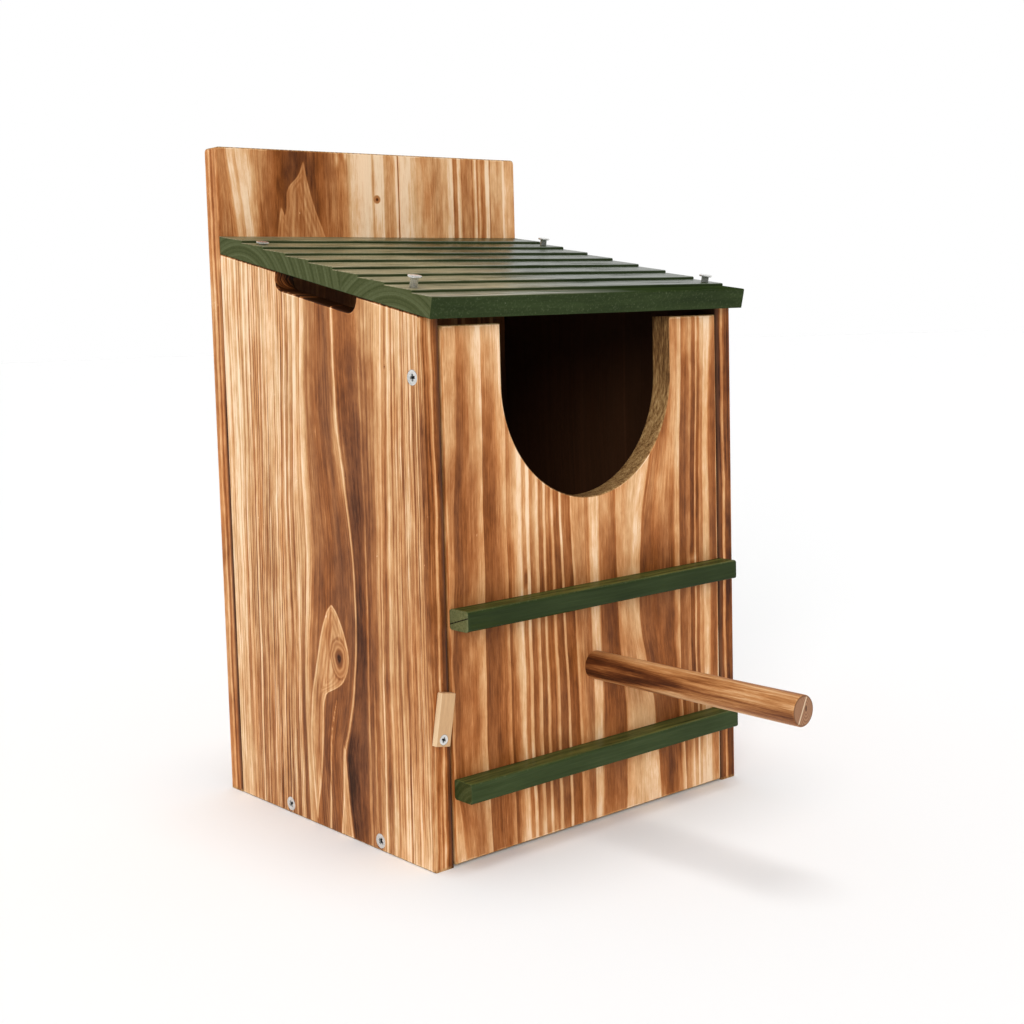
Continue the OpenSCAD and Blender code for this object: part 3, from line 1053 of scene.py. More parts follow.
@dataclass(frozen=True)
class ZincSteel:
    """Zinc-plated steel with faint clouds and handling marks, and painted shade down in the recess."""

    name: str
    state: Zinc

    def material(self) -> bpy.types.Material:
        """Builds the finish."""
        recipe = Recipe(self.name)
        bright, dull, rough = self.state.value
        x, y, z = recipe.axes()
        sunk = recipe.attribute("sunk").step(0.1, 0.6)
        cloud = recipe.noise((x * 0.7, y * 0.7, z * 0.7), 3, 0.6)
        grit = recipe.noise((x * 4.0, y * 4.0, z * 4.0), 2, 0.6)
        share = (cloud * 0.25 + grit * 0.12 + 0.3).most(0.0)
        color = recipe.blend(share, srgb(bright), dull)
        # Painted shade: the cross recess is drawn near black, rougher and less metallic.
        color = recipe.blend(sunk, color, "#15120F")
        recipe.bump(grit * 0.3 + cloud * 0.2 + 0.5, 0.03)
        rough = cloud * 0.06 + sunk * 0.4 + rough
        return recipe.finish(Base_Color=color, Roughness=rough, Metallic=0.75 - sunk * 0.6)


# ---- Boards ----


def to_edge(count: int, last: float = 0.04) -> Array:
    """Shares from 0 to 1 in even steps, with one short last step."""
    return np.append(np.linspace(0, 1 - last, count), 1.0)


@dataclass
class Board:
    """A scorched board: a slab on its seat, with the grain marked at each point."""

    node: str
    body: str
    seat: Seat
    thick: float
    finish: ScorchedFir
    arris: float = 0.8
    holes: tuple[ScrewHole, ...] = ()

    def plan(self) -> FacePlan:
        """The board's face plan."""
        raise NotImplementedError

    def inside(self, along: Array, deep: Array) -> Array:
        """How much a point belongs to the inside of the box, where the finish paints shade, from 0 to 1."""
        return soft_step(deep, self.thick - 3, self.thick)

    def marks(self, slab: Slab) -> dict[str, Array]:
        """Grain, scorching, painted shade inside the box, flame, arris and end grain at each point of the
        slab.
        """
        across, along, deep = slab.points.T
        grain = self.finish.grain
        end = soft_step(np.abs(slab.outward[:, 1]), 0.45, 0.9)
        return {
            "grain": grain.number(across, along, deep),
            "scorch": grain.scorch(across, along) * soft_step(deep, self.thick, self.thick * 0.4),
            # Painted shade on the box's inner faces.
            "inside": self.inside(along, deep),
            "patch": np.maximum(grain.flame(across, along) - deep * 0.5, -12),
            "arris": slab.on_arris,
            "end": np.where(slab.on_face, 0.0, end),
        }

    def lines(self, breaks: set[float], rows: set[float]) -> tuple[Array, Array]:
        """Places of a lattice's lines across and along, through the breaks and round the holes."""
        for hole in self.holes:
            breaks |= {hole.left, hole.right}
            rows |= {hole.low, hole.high}
        along = sorted(rows)
        pitches = [self.row_pitch((low + high) / 2) for low, high in zip(along, along[1:])]
        return spread(sorted(breaks), FINE), spread(along, pitches)

    def edges(self, left: float, right: float) -> set[float]:
        """The two edges of a board, and a column close to each."""
        return {left, left + NEAR_EDGE, right - NEAR_EDGE, right}

    def row_pitch(self, along: float) -> float:
        """The longest step between rows there: short beside a screw."""
        beside = any(hole.low < along < hole.high for hole in self.holes)
        return FINE if beside else self.open_pitch(along)

    def open_pitch(self, along: float) -> float:
        """The longest step between rows away from the screws."""
        return 4.0

    def brushed(self, slab: Slab, number: Array) -> Array:
        """The slab's points with the early wood brushed out of both faces.

        A face point sinks by relief(number) * fade, where fade is 0 at a screw and 1 away from it.
        """
        points = slab.points.copy()
        across, along, deep = points.T
        fade = np.where(slab.on_arris > 0, 0.4, 1.0)
        for hole in self.holes:
            rim = max(hole.outer, hole.inner)
            away = np.hypot(across - hole.across, along - hole.along)
            fade = fade * soft_step(away, rim, rim + 3)
        sink = self.finish.grain.relief(number) * fade * slab.on_face
        points[:, 2] += np.where(deep < self.thick / 2, sink, -sink)
        return points

    def build(self) -> None:
        """Makes the board, dresses it and settles it on its body."""
        slab = Slab(self.plan(), self.thick, self.arris)
        marks = self.marks(slab)
        points = self.brushed(slab, marks["grain"])
        role = Role(self.node, "_wood", self.body, "scorched_wood")
        add_piece(role, self.seat.place(points), slab.tris, marks, self.finish.material())


@dataclass
class StraightBoard(Board):
    """A rectangular board."""

    left: float = 0.0
    right: float = 1.0
    low: float = 0.0
    high: float = 1.0
    fine_from: float = FAR_UP
    corner: float = 1.5

    def inside(self, along: Array, deep: Array) -> Array:
        """The box's inside is the outer face here, up to the roof: it gets painted shade, weaker from 200 mm
        up.
        """
        shade = soft_step(along, self.fine_from, self.fine_from - 8)
        return soft_step(deep, 3.0, 0.0) * shade * (1.06 - 0.56 * soft_step(along, 200, 255))

    def plan(self) -> FacePlan:
        """A lattice inside the board's outline, with its upper corners rounded."""
        plan = FacePlan()
        a, r = self.arris, self.corner
        left, right = self.left + a, self.right - a
        low, high = self.low + a, self.high - a
        breaks = self.edges(left, right) | {left + 0.3, right - 0.3, left + r, right - r}
        rows = {low, low + 1, high - r - 1, high - r}
        rows |= {self.fine_from} if low < self.fine_from < high else set()
        columns, lines = self.lines(breaks, rows)
        plan.lattice(columns, lines, self.holes)
        top = high - eased(np.minimum(columns - left, right - columns), r)
        plan.ruled(pairs(columns, lines[-1]), pairs(columns, top), HALVES)
        return plan

    def open_pitch(self, along: float) -> float:
        """Rows lie closer where the board shows."""
        return 1.5 if along > self.fine_from else 6.0


@dataclass
class SideBoard(Board):
    """A side: its top slopes up to the back, with a vent notch under the roof."""

    front: float = -27.0
    back: float = 145.0
    front_high: float = 269.0
    slope: float = 12.4
    vent_from: float = 49.0
    vent_to: float = 120.108
    vent_deep: float = 9.0
    vent_radius: float = 6.0
    level: float = 255.0

    def marks(self, slab: Slab) -> dict[str, Array]:
        """The board's marks, with the upward cut faces and the sawn notch drawn darker."""
        marks = super().marks(slab)
        across, along, _ = slab.points.T
        in_notch = ~slab.on_face & (along > self.level) & (across > 19) & (across < 93)
        # The upward cut faces and the notch's walls are drawn darker through the scorch mark, and without end
        # grain.
        upward = np.maximum(soft_step(slab.outward[:, 1], 0.2, 0.6) * ~slab.on_face, in_notch)
        marks["scorch"] = marks["scorch"] + 0.8 * upward
        marks["end"] = marks["end"] * (1 - upward)
        return marks

    def top(self, across: Array) -> Array:
        """Height of the sloping top over the plan, the arris let in."""
        turn = math.radians(self.slope)
        return self.front_high + (across - self.front) * math.tan(turn) - self.arris / math.cos(turn)

    def sloped(self, run: Array, rise: Array) -> Array:
        """Points along and over the slope, as points across and along the board."""
        turn = math.radians(self.slope)
        across = self.front + run * math.cos(turn) - rise * math.sin(turn)
        along = self.front_high + run * math.sin(turn) + rise * math.cos(turn)
        return pairs(across, along)

    def notch(self) -> Array:
        """The notch's edge from its front to where its back corner stands upright."""
        radius = self.vent_radius + self.arris
        low_mid = self.vent_radius - self.vent_deep
        first = np.radians(np.linspace(180, 270, 13))
        last = np.radians(np.linspace(-90, -self.slope, 13))
        front = self.vent_from + self.vent_radius
        back = self.vent_to - self.vent_radius
        return np.concatenate(
            [
                self.sloped(np.array([self.vent_from - self.arris]), np.array([-self.arris])),
                self.sloped(front + radius * np.cos(first), low_mid + radius * np.sin(first)),
                self.sloped(back + radius * np.cos(last), low_mid + radius * np.sin(last)),
            ]
        )

    def plan(self) -> FacePlan:
        """A lattice up to a level, and ruled patches from there up to the top and the notch."""
        plan = FacePlan()
        a = self.arris
        left, right = self.front + a, self.back - a
        notch = self.notch()
        start, turned = notch[0, 0], notch[-1, 0]
        breaks = self.edges(left, right) | {start, turned, *notch[[1, 13, 14], 0]}
        columns, lines = self.lines(breaks, {0.8, 1.8, 60.0, 130.0, self.level})
        plan.lattice(columns, lines, self.holes)
        ahead = columns[columns <= turned + 1e-9]
        behind = columns[columns >= turned - 1e-9]
        height = np.where(ahead <= start, self.top(ahead), np.interp(ahead, notch[:, 0], notch[:, 1]))
        shares = to_edge(7)
        plan.ruled(pairs(ahead, self.level), pairs(ahead, height), shares)
        upright = float(notch[-1, 1])
        plan.ruled(pairs(behind, self.level), pairs(behind, upright), shares)
        corner = self.sloped(np.array([self.vent_to + a]), np.array([-a]))[0]
        moved = behind + (corner[0] - turned) * np.clip(1 - (behind - turned) / 12, 0, 1)
        plan.ruled(pairs(behind, upright), pairs(moved, self.top(moved)), to_edge(5, 0.1))
        return plan

    def open_pitch(self, along: float) -> float:
        """Rows lie closer round the knot."""
        return 1.6 if 60 < along < 130 else 5.0


@dataclass
class PanelBoard(Board):
    """The front panel: a board with a round-bottomed entrance open to its top."""

    left: float = -98.5
    right: float = 99.5
    low: float = 1.0
    high: float = 264.0
    middle: float = 0.5
    entrance: float = 61.0
    entrance_along: float = 234.0
    level: float = 168.0

    def marks(self, slab: Slab) -> dict[str, Array]:
        """The board's marks, with the whole cut of the entrance sawn."""
        marks = super().marks(slab)
        across, along, _ = slab.points.T
        away = np.hypot(across - self.middle, np.minimum(along - self.entrance_along, 0))
        cut = (away < self.entrance + 1) & ~slab.on_face
        marks["end"] = np.maximum(marks["end"], cut)
        burnt = np.maximum(soft_step(along, 215, 245), soft_step(-across, -20, 20)) * cut
        marks["scorch"] = np.where(cut, burnt * 0.3, marks["scorch"])
        return marks

    def plan(self) -> FacePlan:
        """A lattice under the entrance, a patch under its arc and an ear on each side of it."""
        plan = FacePlan()
        a = self.arris
        left, right, low, high = self.left + a, self.right - a, self.low + a, self.high - a
        radius = self.entrance + a
        turn = np.radians(np.arange(0, 26, 2.0))
        near = {*(self.middle - radius * np.cos(turn)), *(self.middle + radius * np.cos(turn))}
        columns, lines = self.lines(self.edges(left, right) | near, {low, low + 1, self.level})
        plan.lattice(columns, lines, self.holes)
        under = columns[np.abs(columns - self.middle) <= radius + 1e-9]
        reach = np.maximum(radius**2 - (under - self.middle) ** 2, 0)
        arc = pairs(under, self.entrance_along - np.sqrt(reach))
        shares = to_edge(12)
        plan.ruled(pairs(under, self.level), arc, shares)
        for ear in (columns[columns <= under[0] + 1e-9], columns[columns >= under[-1] - 1e-9]):
            plan.ruled(pairs(ear, self.level), pairs(ear, self.entrance_along), shares)
            plan.ruled(pairs(ear, self.entrance_along), pairs(ear, high), to_edge(6, 0.06))
        return plan


# ---- Stained pieces ----


@dataclass
class Roof:
    """The stepped roof board: treads that rise to the front, with a riser in front of each."""

    slope: float = 12.4
    tread: float = 21.2
    thick: float = 11.0
    riser: float = 1.4
    run: float = 176.108
    front: float = -8.703
    half_width: float = 112.0
    low_front: float = -27.0
    low_high: float = 269.0
    arris: float = 0.4
    nose: float = 0.5
    seam: float = 62.0
    piths: tuple[tuple[float, float], ...] = ((15.0, -26.0), (152.0, -24.0))

    def plan(self) -> FacePlan:
        """The roof's section: one patch a tread, which rises evenly from its back to its front."""
        plan = FacePlan()
        a = self.arris
        low = self.thick - self.riser
        count = math.ceil((self.run - self.front) / self.tread)
        edges = [self.front + a, *(self.run + a - i * self.tread for i in range(count - 1, -1, -1))]
        for number, (near, far) in enumerate(zip(edges, edges[1:])):
            end = far if number < count - 1 else self.run - 1.2
            places = spread([near, near + 0.15, near + self.nose, end], [0.2, 0.2, 1.3])
            rise = self.riser * (far - places) / self.tread - eased(places - near, self.nose)
            middle = pairs(places, low - a)
            plan.ruled(pairs(places, a), middle, np.linspace(0, 1, 6))
            plan.ruled(middle, pairs(places, low - a + np.maximum(rise, 0)), HALVES)
        heights = np.concatenate([np.linspace(a, low - a, 6), low - a + rise[-1] * np.array([0.5, 1])])
        level = np.minimum(heights, low - a)
        turn = math.radians(self.slope)
        back = self.run + level * math.tan(turn) - a / math.cos(turn)
        plan.ruled(pairs(places[-1], heights), pairs(back, level), HALVES)
        return plan

    def height(self, run: float) -> float:
        """Height of a tread over the roof's underside."""
        return self.thick - self.riser + self.riser * ((self.run - run) % self.tread) / self.tread

    def marks(self, slab: Slab) -> dict[str, Array]:
        """Grain along the treads and growth rings on the two ends, with a tan painted reflection on the treads
        and their gloss.
        """
        run, rise, deep = slab.points.T
        near, far = self.piths
        side, pith = (np.where(run < self.seam, *both) for both in zip(near, far))
        rings = np.hypot(run - side, (rise - pith) * 1.15)
        wander = 0.9 * np.sin(deep / 41 + run / 60) + 0.4 * np.sin(deep / 17 + 1)
        up = soft_step(slab.outward[:, 1], 0.6, 0.9) * ~slab.on_face
        front = run < self.run - self.tread * 8 + 0.5
        # Painted reflection of the back board on the treads: strongest on the left, weaker on the front tread,
        # capped lower at the back.
        painted_reflection = soft_step(deep, 140, 10) * np.where(front, 0.42, 0.9)
        most = 0.56 - 0.14 * soft_step(run, 80, 120)
        nose_gloss = 1.1 * soft_step(deep, 170, 30) - 0.2
        gloss = np.where(front, nose_gloss, 0.4 + 0.8 * soft_step(deep, 60, 150))
        return {
            "grain": np.where(slab.on_face, rings, run + rise * 0.6 + wander),
            "arris": np.where(slab.on_face, slab.on_arris, self.on_nose(run, rise)),
            "end": slab.on_face.astype(float),
            "sun": up * np.minimum(painted_reflection, most),
            "gloss": up * gloss,
        }

    def on_nose(self, run: Array, rise: Array) -> Array:
        """1 on the front edges of the treads and of the board."""
        step = np.mod(self.run - run, self.tread)
        high = rise > self.thick - self.riser / 2
        return ((step > self.tread - 0.9) & high | (run < self.front + 0.9)).astype(float)

    def build(self) -> None:
        """Makes the roof, dresses it and settles it on the box."""
        slab = Slab(self.plan(), 2 * self.half_width, self.arris, pitch=2.5)
        turn = math.radians(self.slope)
        seat = Seat(
            (-self.half_width, self.low_front, self.low_high),
            (0, math.cos(turn), math.sin(turn)),
            (0, -math.sin(turn), math.cos(turn)),
            (1, 0, 0),
        )
        marks = self.marks(slab)
        points = slab.points.copy()
        wave = np.sin(marks["grain"] * 2.1) * 0.5 + np.sin(marks["grain"] * 0.9 + points[:, 2] / 50) * 0.5
        sink = 0.05 * (1 - wave) * ~slab.on_face * (1 - slab.on_arris)
        points[:, :2] -= slab.outward * sink[:, None]
        # The pale tan colour is that of the painted reflection on the treads.
        stain = GreenStain("roof_stain", painted_light="#BAAB84", cut_lift=0.18, haze=0.3, sheen=1.85, coat=0.08)
        role = Role("roof_board", "_stained", "box", "green_stain")
        add_piece(role, seat.place(points), slab.tris, marks, stain.material(), 28)


@dataclass
class Batten:
    """A stained batten across the panel, with eased edges."""

    node: str
    base: float
    bare_end: float | None = None
    left: float = -98.5
    right: float = 99.5
    front: float = -40.0
    deep: float = 13.0
    high: float = 10.2
    arris: float = 0.4
    corner: float = 1.0
    lift: float = 0.0

    def plan(self) -> FacePlan:
        """The batten's section, with quarter circles at its four corners."""
        plan = FacePlan()
        a, r = self.arris, self.corner
        left, right = self.front + a, self.front + self.deep - a
        low, high = self.base + a, self.base + self.high - a
        ends = [0, 0.08, 0.25, 0.5, r]
        breaks = [left + e for e in ends] + [right - e for e in reversed(ends)]
        places = spread(breaks, 1.3)
        ease = eased(np.minimum(places - left, right - places), r)
        plan.ruled(pairs(places, low + ease), pairs(places, high - ease), np.linspace(0, 1, 9))
        return plan

    def build(self) -> None:
        """Makes the batten, dresses it and settles it on the door."""
        slab = Slab(self.plan(), self.right - self.left, self.arris, pitch=2.5)
        across, along, deep = slab.points.T
        up = along - self.base
        rings = np.hypot(across - self.front + 5.0, up + 7.0)
        wander = 0.7 * np.sin(deep / 37 + self.base) + 0.3 * np.sin(deep / 13)
        low_side = np.abs(across - self.front - self.deep / 2) > self.deep / 2 - self.corner
        low_top = np.abs(up - self.high / 2) > self.high / 2 - self.corner
        marks = {
            "grain": np.where(slab.on_face, rings, across * 0.8 + up * 1.2 + wander),
            "arris": (low_side & low_top | (slab.on_arris > 0)).astype(float),
            "end": slab.on_face.astype(float),
            # Painted light: the batten's upward faces are drawn paler, as lit from above.
            "sun": 0.5 * soft_step(slab.outward[:, 1], 0.6, 0.9) * ~slab.on_face,
        }
        points = slab.points.copy()
        sink = 0.05 * (1 + np.sin(marks["grain"] * 2.3 + deep / 60)) * ~slab.on_face * (1 - slab.on_arris)
        points[:, :2] -= slab.outward * sink[:, None]
        seat = Seat((self.left, 0, 0), (0, 1, 0), (0, 0, 1), (1, 0, 0))
        stain = GreenStain(self.node + "_stain", self.bare_end, lift=self.lift)
        role = Role(self.node, "_stained", "door", "green_stain")
        add_piece(role, seat.place(points), slab.tris, marks, stain.material())


# ---- Perch and turn button ----


def ringed(radii: Array, depths: Array, around: int) -> Array:
    """Rings of points (r cos u, r sin u, d) round an axis, one for each radius and depth."""
    turn = np.linspace(0, 2 * math.pi, around, endpoint=False)
    x, y = np.outer(radii, np.cos(turn)), np.outer(radii, np.sin(turn))
    return np.stack([x, y, np.broadcast_to(depths[:, None], x.shape)], -1)


def revolved(rings: int, around: int) -> Array:
    """Triangles of stacked rings of points, closed by a point before them and one after them.

    Args:
        rings: How many rings there are.
        around: How many points a ring has.

    Returns:
        The triangles: the first closing point follows the rings, and the other one follows it.
    """
    step = np.arange(around)
    after = np.roll(step, -1)
    rows = np.arange(rings - 1)[:, None] * around
    a, b, c, d = rows + step, rows + after, rows + around + after, rows + around + step
    first, last = rings * around, (rings - 1) * around
    return np.concatenate(
        [
            np.stack([a, b, c], -1).reshape(-1, 3),
            np.stack([a, c, d], -1).reshape(-1, 3),
            np.stack([np.full(around, first), after, step], -1),
            np.stack([np.full(around, first + 1), last + step, last + after], -1),
        ]
    )


@dataclass
class Perch:
    """The round perch, with an eased tip."""

    middle_x: float = 0.5
    middle_z: float = 84.0
    radius: float = 7.5
    start: float = -27.0
    length: float = 130.0
    ease: float = 0.8
    around: int = 72

    def build(self) -> None:
        """Makes the perch, dresses it and settles it on the door.

        The radius runs out from the base's middle, along the side with a faint waist, round the tip's eased
        edge and in to its middle.
        """
        angle = np.radians(np.linspace(0, 90, 5))[1:]
        side = np.linspace(0, self.length - self.ease, 60)
        waist = self.radius - 0.05 * (1 - np.cos(side / 23)) / 2 - 0.03 * (1 + np.sin(side / 7)) / 2
        inner = self.radius - self.ease
        disc = np.linspace(inner, 0.0, 8)[1:-1]
        radii = np.concatenate([[self.radius * 0.5], waist, inner + self.ease * np.cos(angle), disc])
        edge = self.length - self.ease + self.ease * np.sin(angle)
        places = np.concatenate([[0.0], side, edge, np.full(len(disc), self.length)])
        rings = ringed(radii, places, self.around).reshape(-1, 3)
        points = np.concatenate([rings, [[0, 0, 0], [0, 0, self.length]]])
        tris = revolved(len(radii), self.around)
        is_end = np.zeros(len(points))
        is_end[(1 + len(side) + 2) * self.around :] = 1
        is_end[-2] = 0
        seat = Seat((self.middle_x, self.start, self.middle_z), (1, 0, 0), (0, 0, 1), (0, -1, 0))
        finish = Dowel("perch_finish", self.middle_x, self.middle_z)
        role = Role("perch", "_dowel", "door", "perch_wood")
        add_piece(role, seat.place(points), tris, {"end": is_end}, finish.material())


@dataclass
class TurnButton:
    """The turn button on the left side's edge."""

    middle_x: float
    outer_y: float
    middle_z: float = 66.0
    width: float = 9.0
    length: float = 26.0
    tail: float = 3.4
    thick: float = 3.2
    lean: float = 10.0
    corner: float = 0.5
    arris: float = 0.3
    head: float = 2.68
    shank: float = 1.38

    def plan(self) -> FacePlan:
        """The button's face: a lattice round the screw, and an eased strip at each end."""
        plan = FacePlan()
        a, r = self.arris, self.corner
        half = self.width / 2 - a
        ends = [0, 0.04, 0.12, 0.28, r]
        block_half = 2.95
        breaks = sorted({-half + e for e in ends} | {half - e for e in ends} | {-block_half, block_half})
        places = spread(breaks, 0.7)
        low, high = -self.tail + a, self.length - self.tail - a
        rows = spread([-block_half, block_half, high - r], [0.7, 1.2])
        hole = ScrewHole(0, 0, self.head, self.shank, -block_half, block_half, rows[0], block_half)
        plan.lattice(places, rows, [hole])
        ease = eased(np.minimum(places + half, half - places), r)
        plan.ruled(pairs(places, np.minimum(low + ease, rows[0])), pairs(places, rows[0]), HALVES)
        plan.ruled(pairs(places, rows[-1]), pairs(places, high - ease), HALVES)
        return plan

    def build(self) -> None:
        """Makes the button, dresses it and settles it on its own body."""
        slab = Slab(self.plan(), self.thick, self.arris, pitch=0.7, rim=0.26)
        turn = math.radians(self.lean)
        seat = Seat(
            (self.middle_x, self.outer_y, self.middle_z),
            (math.cos(turn), 0, -math.sin(turn)),
            (math.sin(turn), 0, math.cos(turn)),
            (0, 1, 0),
        )
        end = soft_step(np.abs(slab.outward[:, 1]), 0.45, 0.9)
        marks = {"arris": slab.on_arris, "end": np.where(slab.on_face, 0.0, end)}
        finish = PaleWood("button_wood", self.middle_x, self.middle_z, self.lean)
        role = Role("turn_button", "_wood", "button", "pale_wood")
        add_piece(role, seat.place(slab.points), slab.tris, marks, finish.material())


# ---- Fasteners ----


@dataclass
class Fastener:
    """A turned steel piece: its head's top is at its seat's origin, and its shank runs inwards."""

    node: str
    body: str
    seat: Seat
    finish: bpy.types.Material
    head: float
    shank: float
    length: float
    around: int = 96

    def outline(self) -> Array:
        """Radius and depth of each ring outside the head's top, down to the tip."""
        raise NotImplementedError

    def top(self) -> Array:
        """Radius of each ring on the head's top, from the middle."""
        raise NotImplementedError

    def sunk(self, x: Array, y: Array) -> Array:
        """How deep a point of the head's top lies in the recess, from 0 to 1."""
        return np.zeros_like(x)

    def depth(self, radius: Array, sunk: Array) -> Array:
        """How far a point of the head's top is under the highest one."""
        return 0.02 * self.head * (radius / self.head) ** 2

    def build(self) -> None:
        """Makes the piece.

        P(u, v) = (r(v) cos u, r(v) sin u, d(v)), where d on the head's top is the depth of the recess.
        """
        upper = ringed(self.top(), np.zeros(len(self.top())), self.around)
        x, y = upper[..., 0], upper[..., 1]
        sunk = self.sunk(x, y)
        upper[..., 2] = self.depth(np.hypot(x, y), sunk)
        lower = ringed(*self.outline().T, self.around)
        grid = np.concatenate([upper, lower])
        middle = np.array([[0, 0, self.depth(np.zeros(1), self.sunk(np.zeros(1), np.zeros(1)))[0]]])
        points = np.concatenate([grid.reshape(-1, 3), middle, [[0, 0, self.length]]])
        tris = revolved(len(grid), self.around)
        closing = [float(sunk.any()), 0.0]
        marks = {"sunk": np.concatenate([sunk.ravel(), np.zeros(lower[..., 0].size), closing])}
        role = Role(self.node, "_steel", self.body, "zinc_steel")
        add_piece(role, self.seat.place(points), tris, marks, self.finish, 50)


@dataclass
class Screw(Fastener):
    """A countersunk screw with a cross recess, turned by 20 degrees."""

    turn: float = 20.0

    def top(self) -> Array:
        """Rings close together over the recess, and a few out to the rim."""
        reach = self.head * 0.29
        outer = np.linspace(reach, self.head / 2 - 0.2, 6)[1:]
        return np.concatenate([np.linspace(0.03, 1, 26) * reach, outer])

    def outline(self) -> Array:
        """The rounded rim, the cone, the shank and the tip."""
        radius, rim = self.head / 2, self.head * 0.05
        cone = radius - self.shank / 2
        return np.array(
            [
                (radius - 0.08, 0.03),
                (radius, 0.12),
                (radius, rim),
                (radius - cone * 0.5, rim + cone * 0.5),
                (self.shank / 2, rim + cone),
                (self.shank / 2, (self.length + rim) / 2),
                (self.shank / 2, self.length - self.shank * 0.8),
                (self.shank / 4, self.length - self.shank * 0.4),
            ]
        )

    def sunk(self, x: Array, y: Array) -> Array:
        """The cross: each arm falls off over its sides and its end, and it is deepest in the middle."""
        turn = math.radians(self.turn)
        u = np.abs(x * math.cos(turn) + y * math.sin(turn))
        v = np.abs(y * math.cos(turn) - x * math.sin(turn))
        reach, half, soft = self.head * 0.25, self.head * 0.095, self.head * 0.03

        def arm(far: Array, wide: Array) -> Array:
            """One pair of arms."""
            return soft_step(far, reach, reach - soft * 2) * soft_step(wide, half, half - soft)

        return np.maximum(arm(u, v), arm(v, u)) * (1 - 0.35 * np.hypot(x, y) / reach)

    def depth(self, radius: Array, sunk: Array) -> Array:
        """The recess in a faintly dished head."""
        dish = 0.012 * self.head * soft_step(radius, self.head * 0.47, self.head * 0.3)
        return dish + sunk * self.head * 0.25


@dataclass
class Nail(Fastener):
    """A flat-headed nail."""

    thick: float = 0.9

    def top(self) -> Array:
        """Even rings out to the head's rounded edge."""
        return np.linspace(0.1, 1, 5) * (self.head / 2 - 0.25)

    def outline(self) -> Array:
        """The head's rounded edge, its underside, the shank and the point."""
        radius, shank = self.head / 2, self.shank / 2
        return np.array(
            [
                (radius - 0.09, 0.05),
                (radius, 0.25),
                (radius, self.thick - 0.15),
                (radius - 0.12, self.thick),
                (shank + 0.25, self.thick + 0.02),
                (shank, self.thick + 0.25),
                (shank, (self.length + self.thick) / 2),
                (shank, self.length - self.shank),
                (shank / 2, self.length - self.shank / 2),
            ]
        )


# ---- Sub-assemblies ----


class Gauge(NamedTuple):
    """Widths of a fastener's head and shank, and its length."""

    head: float
    shank: float
    length: float


class Bore(NamedTuple):
    """Radii of a fastener's hole at its head and its shank, and half the block of lattice round it."""

    head: float
    shank: float
    half: float

    def driven(self, across: float, along: float, inwards: bool = True, low: float = FAR_DOWN) -> ScrewHole:
        """The hole of a fastener driven through a board.

        Args:
            across: The hole's place across the board.
            along: Its place along the board.
            inwards: Whether the head is at the outer face.
            low: The lowest place along the board that its block reaches.

        Returns:
            The hole, with a square block round it.
        """
        outer, inner = (self.head, self.shank) if inwards else (self.shank, self.head)
        left, right = across - self.half, across + self.half
        low, high = max(along - self.half, low), along + self.half
        return ScrewHole(across, along, outer, inner, left, right, low, high)


PIVOT_SCREW = Gauge(7.6, 3.5, 28.0)
BOARD_SCREW = Gauge(7.6, 3.5, 30.0)
PERCH_SCREW = Gauge(7.6, 3.5, 32.0)
BUTTON_SCREW = Gauge(5.2, 2.6, 20.0)
ROOF_NAIL = Gauge(7.0, 4.0, 38.0)
BATTEN_NAIL = Gauge(4.6, 2.0, 21.0)
SCREW_BORE = Bore(3.84, 1.79, 4.8)
NAIL_BORE = Bore(2.34, 1.04, 3.5)


def rows(kind: type, *values: tuple[float, ...]) -> tuple:
    """One object of a kind for each row of its values."""
    return tuple(kind(*row) for row in values)


def courses(levels: Sequence[float], *values: tuple[float, ...]) -> tuple[Guide, ...]:
    """Guides from rows of a number and its place at each level, or of a number that is its place."""
    return tuple(Guide(row[0], row[1:] or (row[0],) * len(levels)) for row in values)


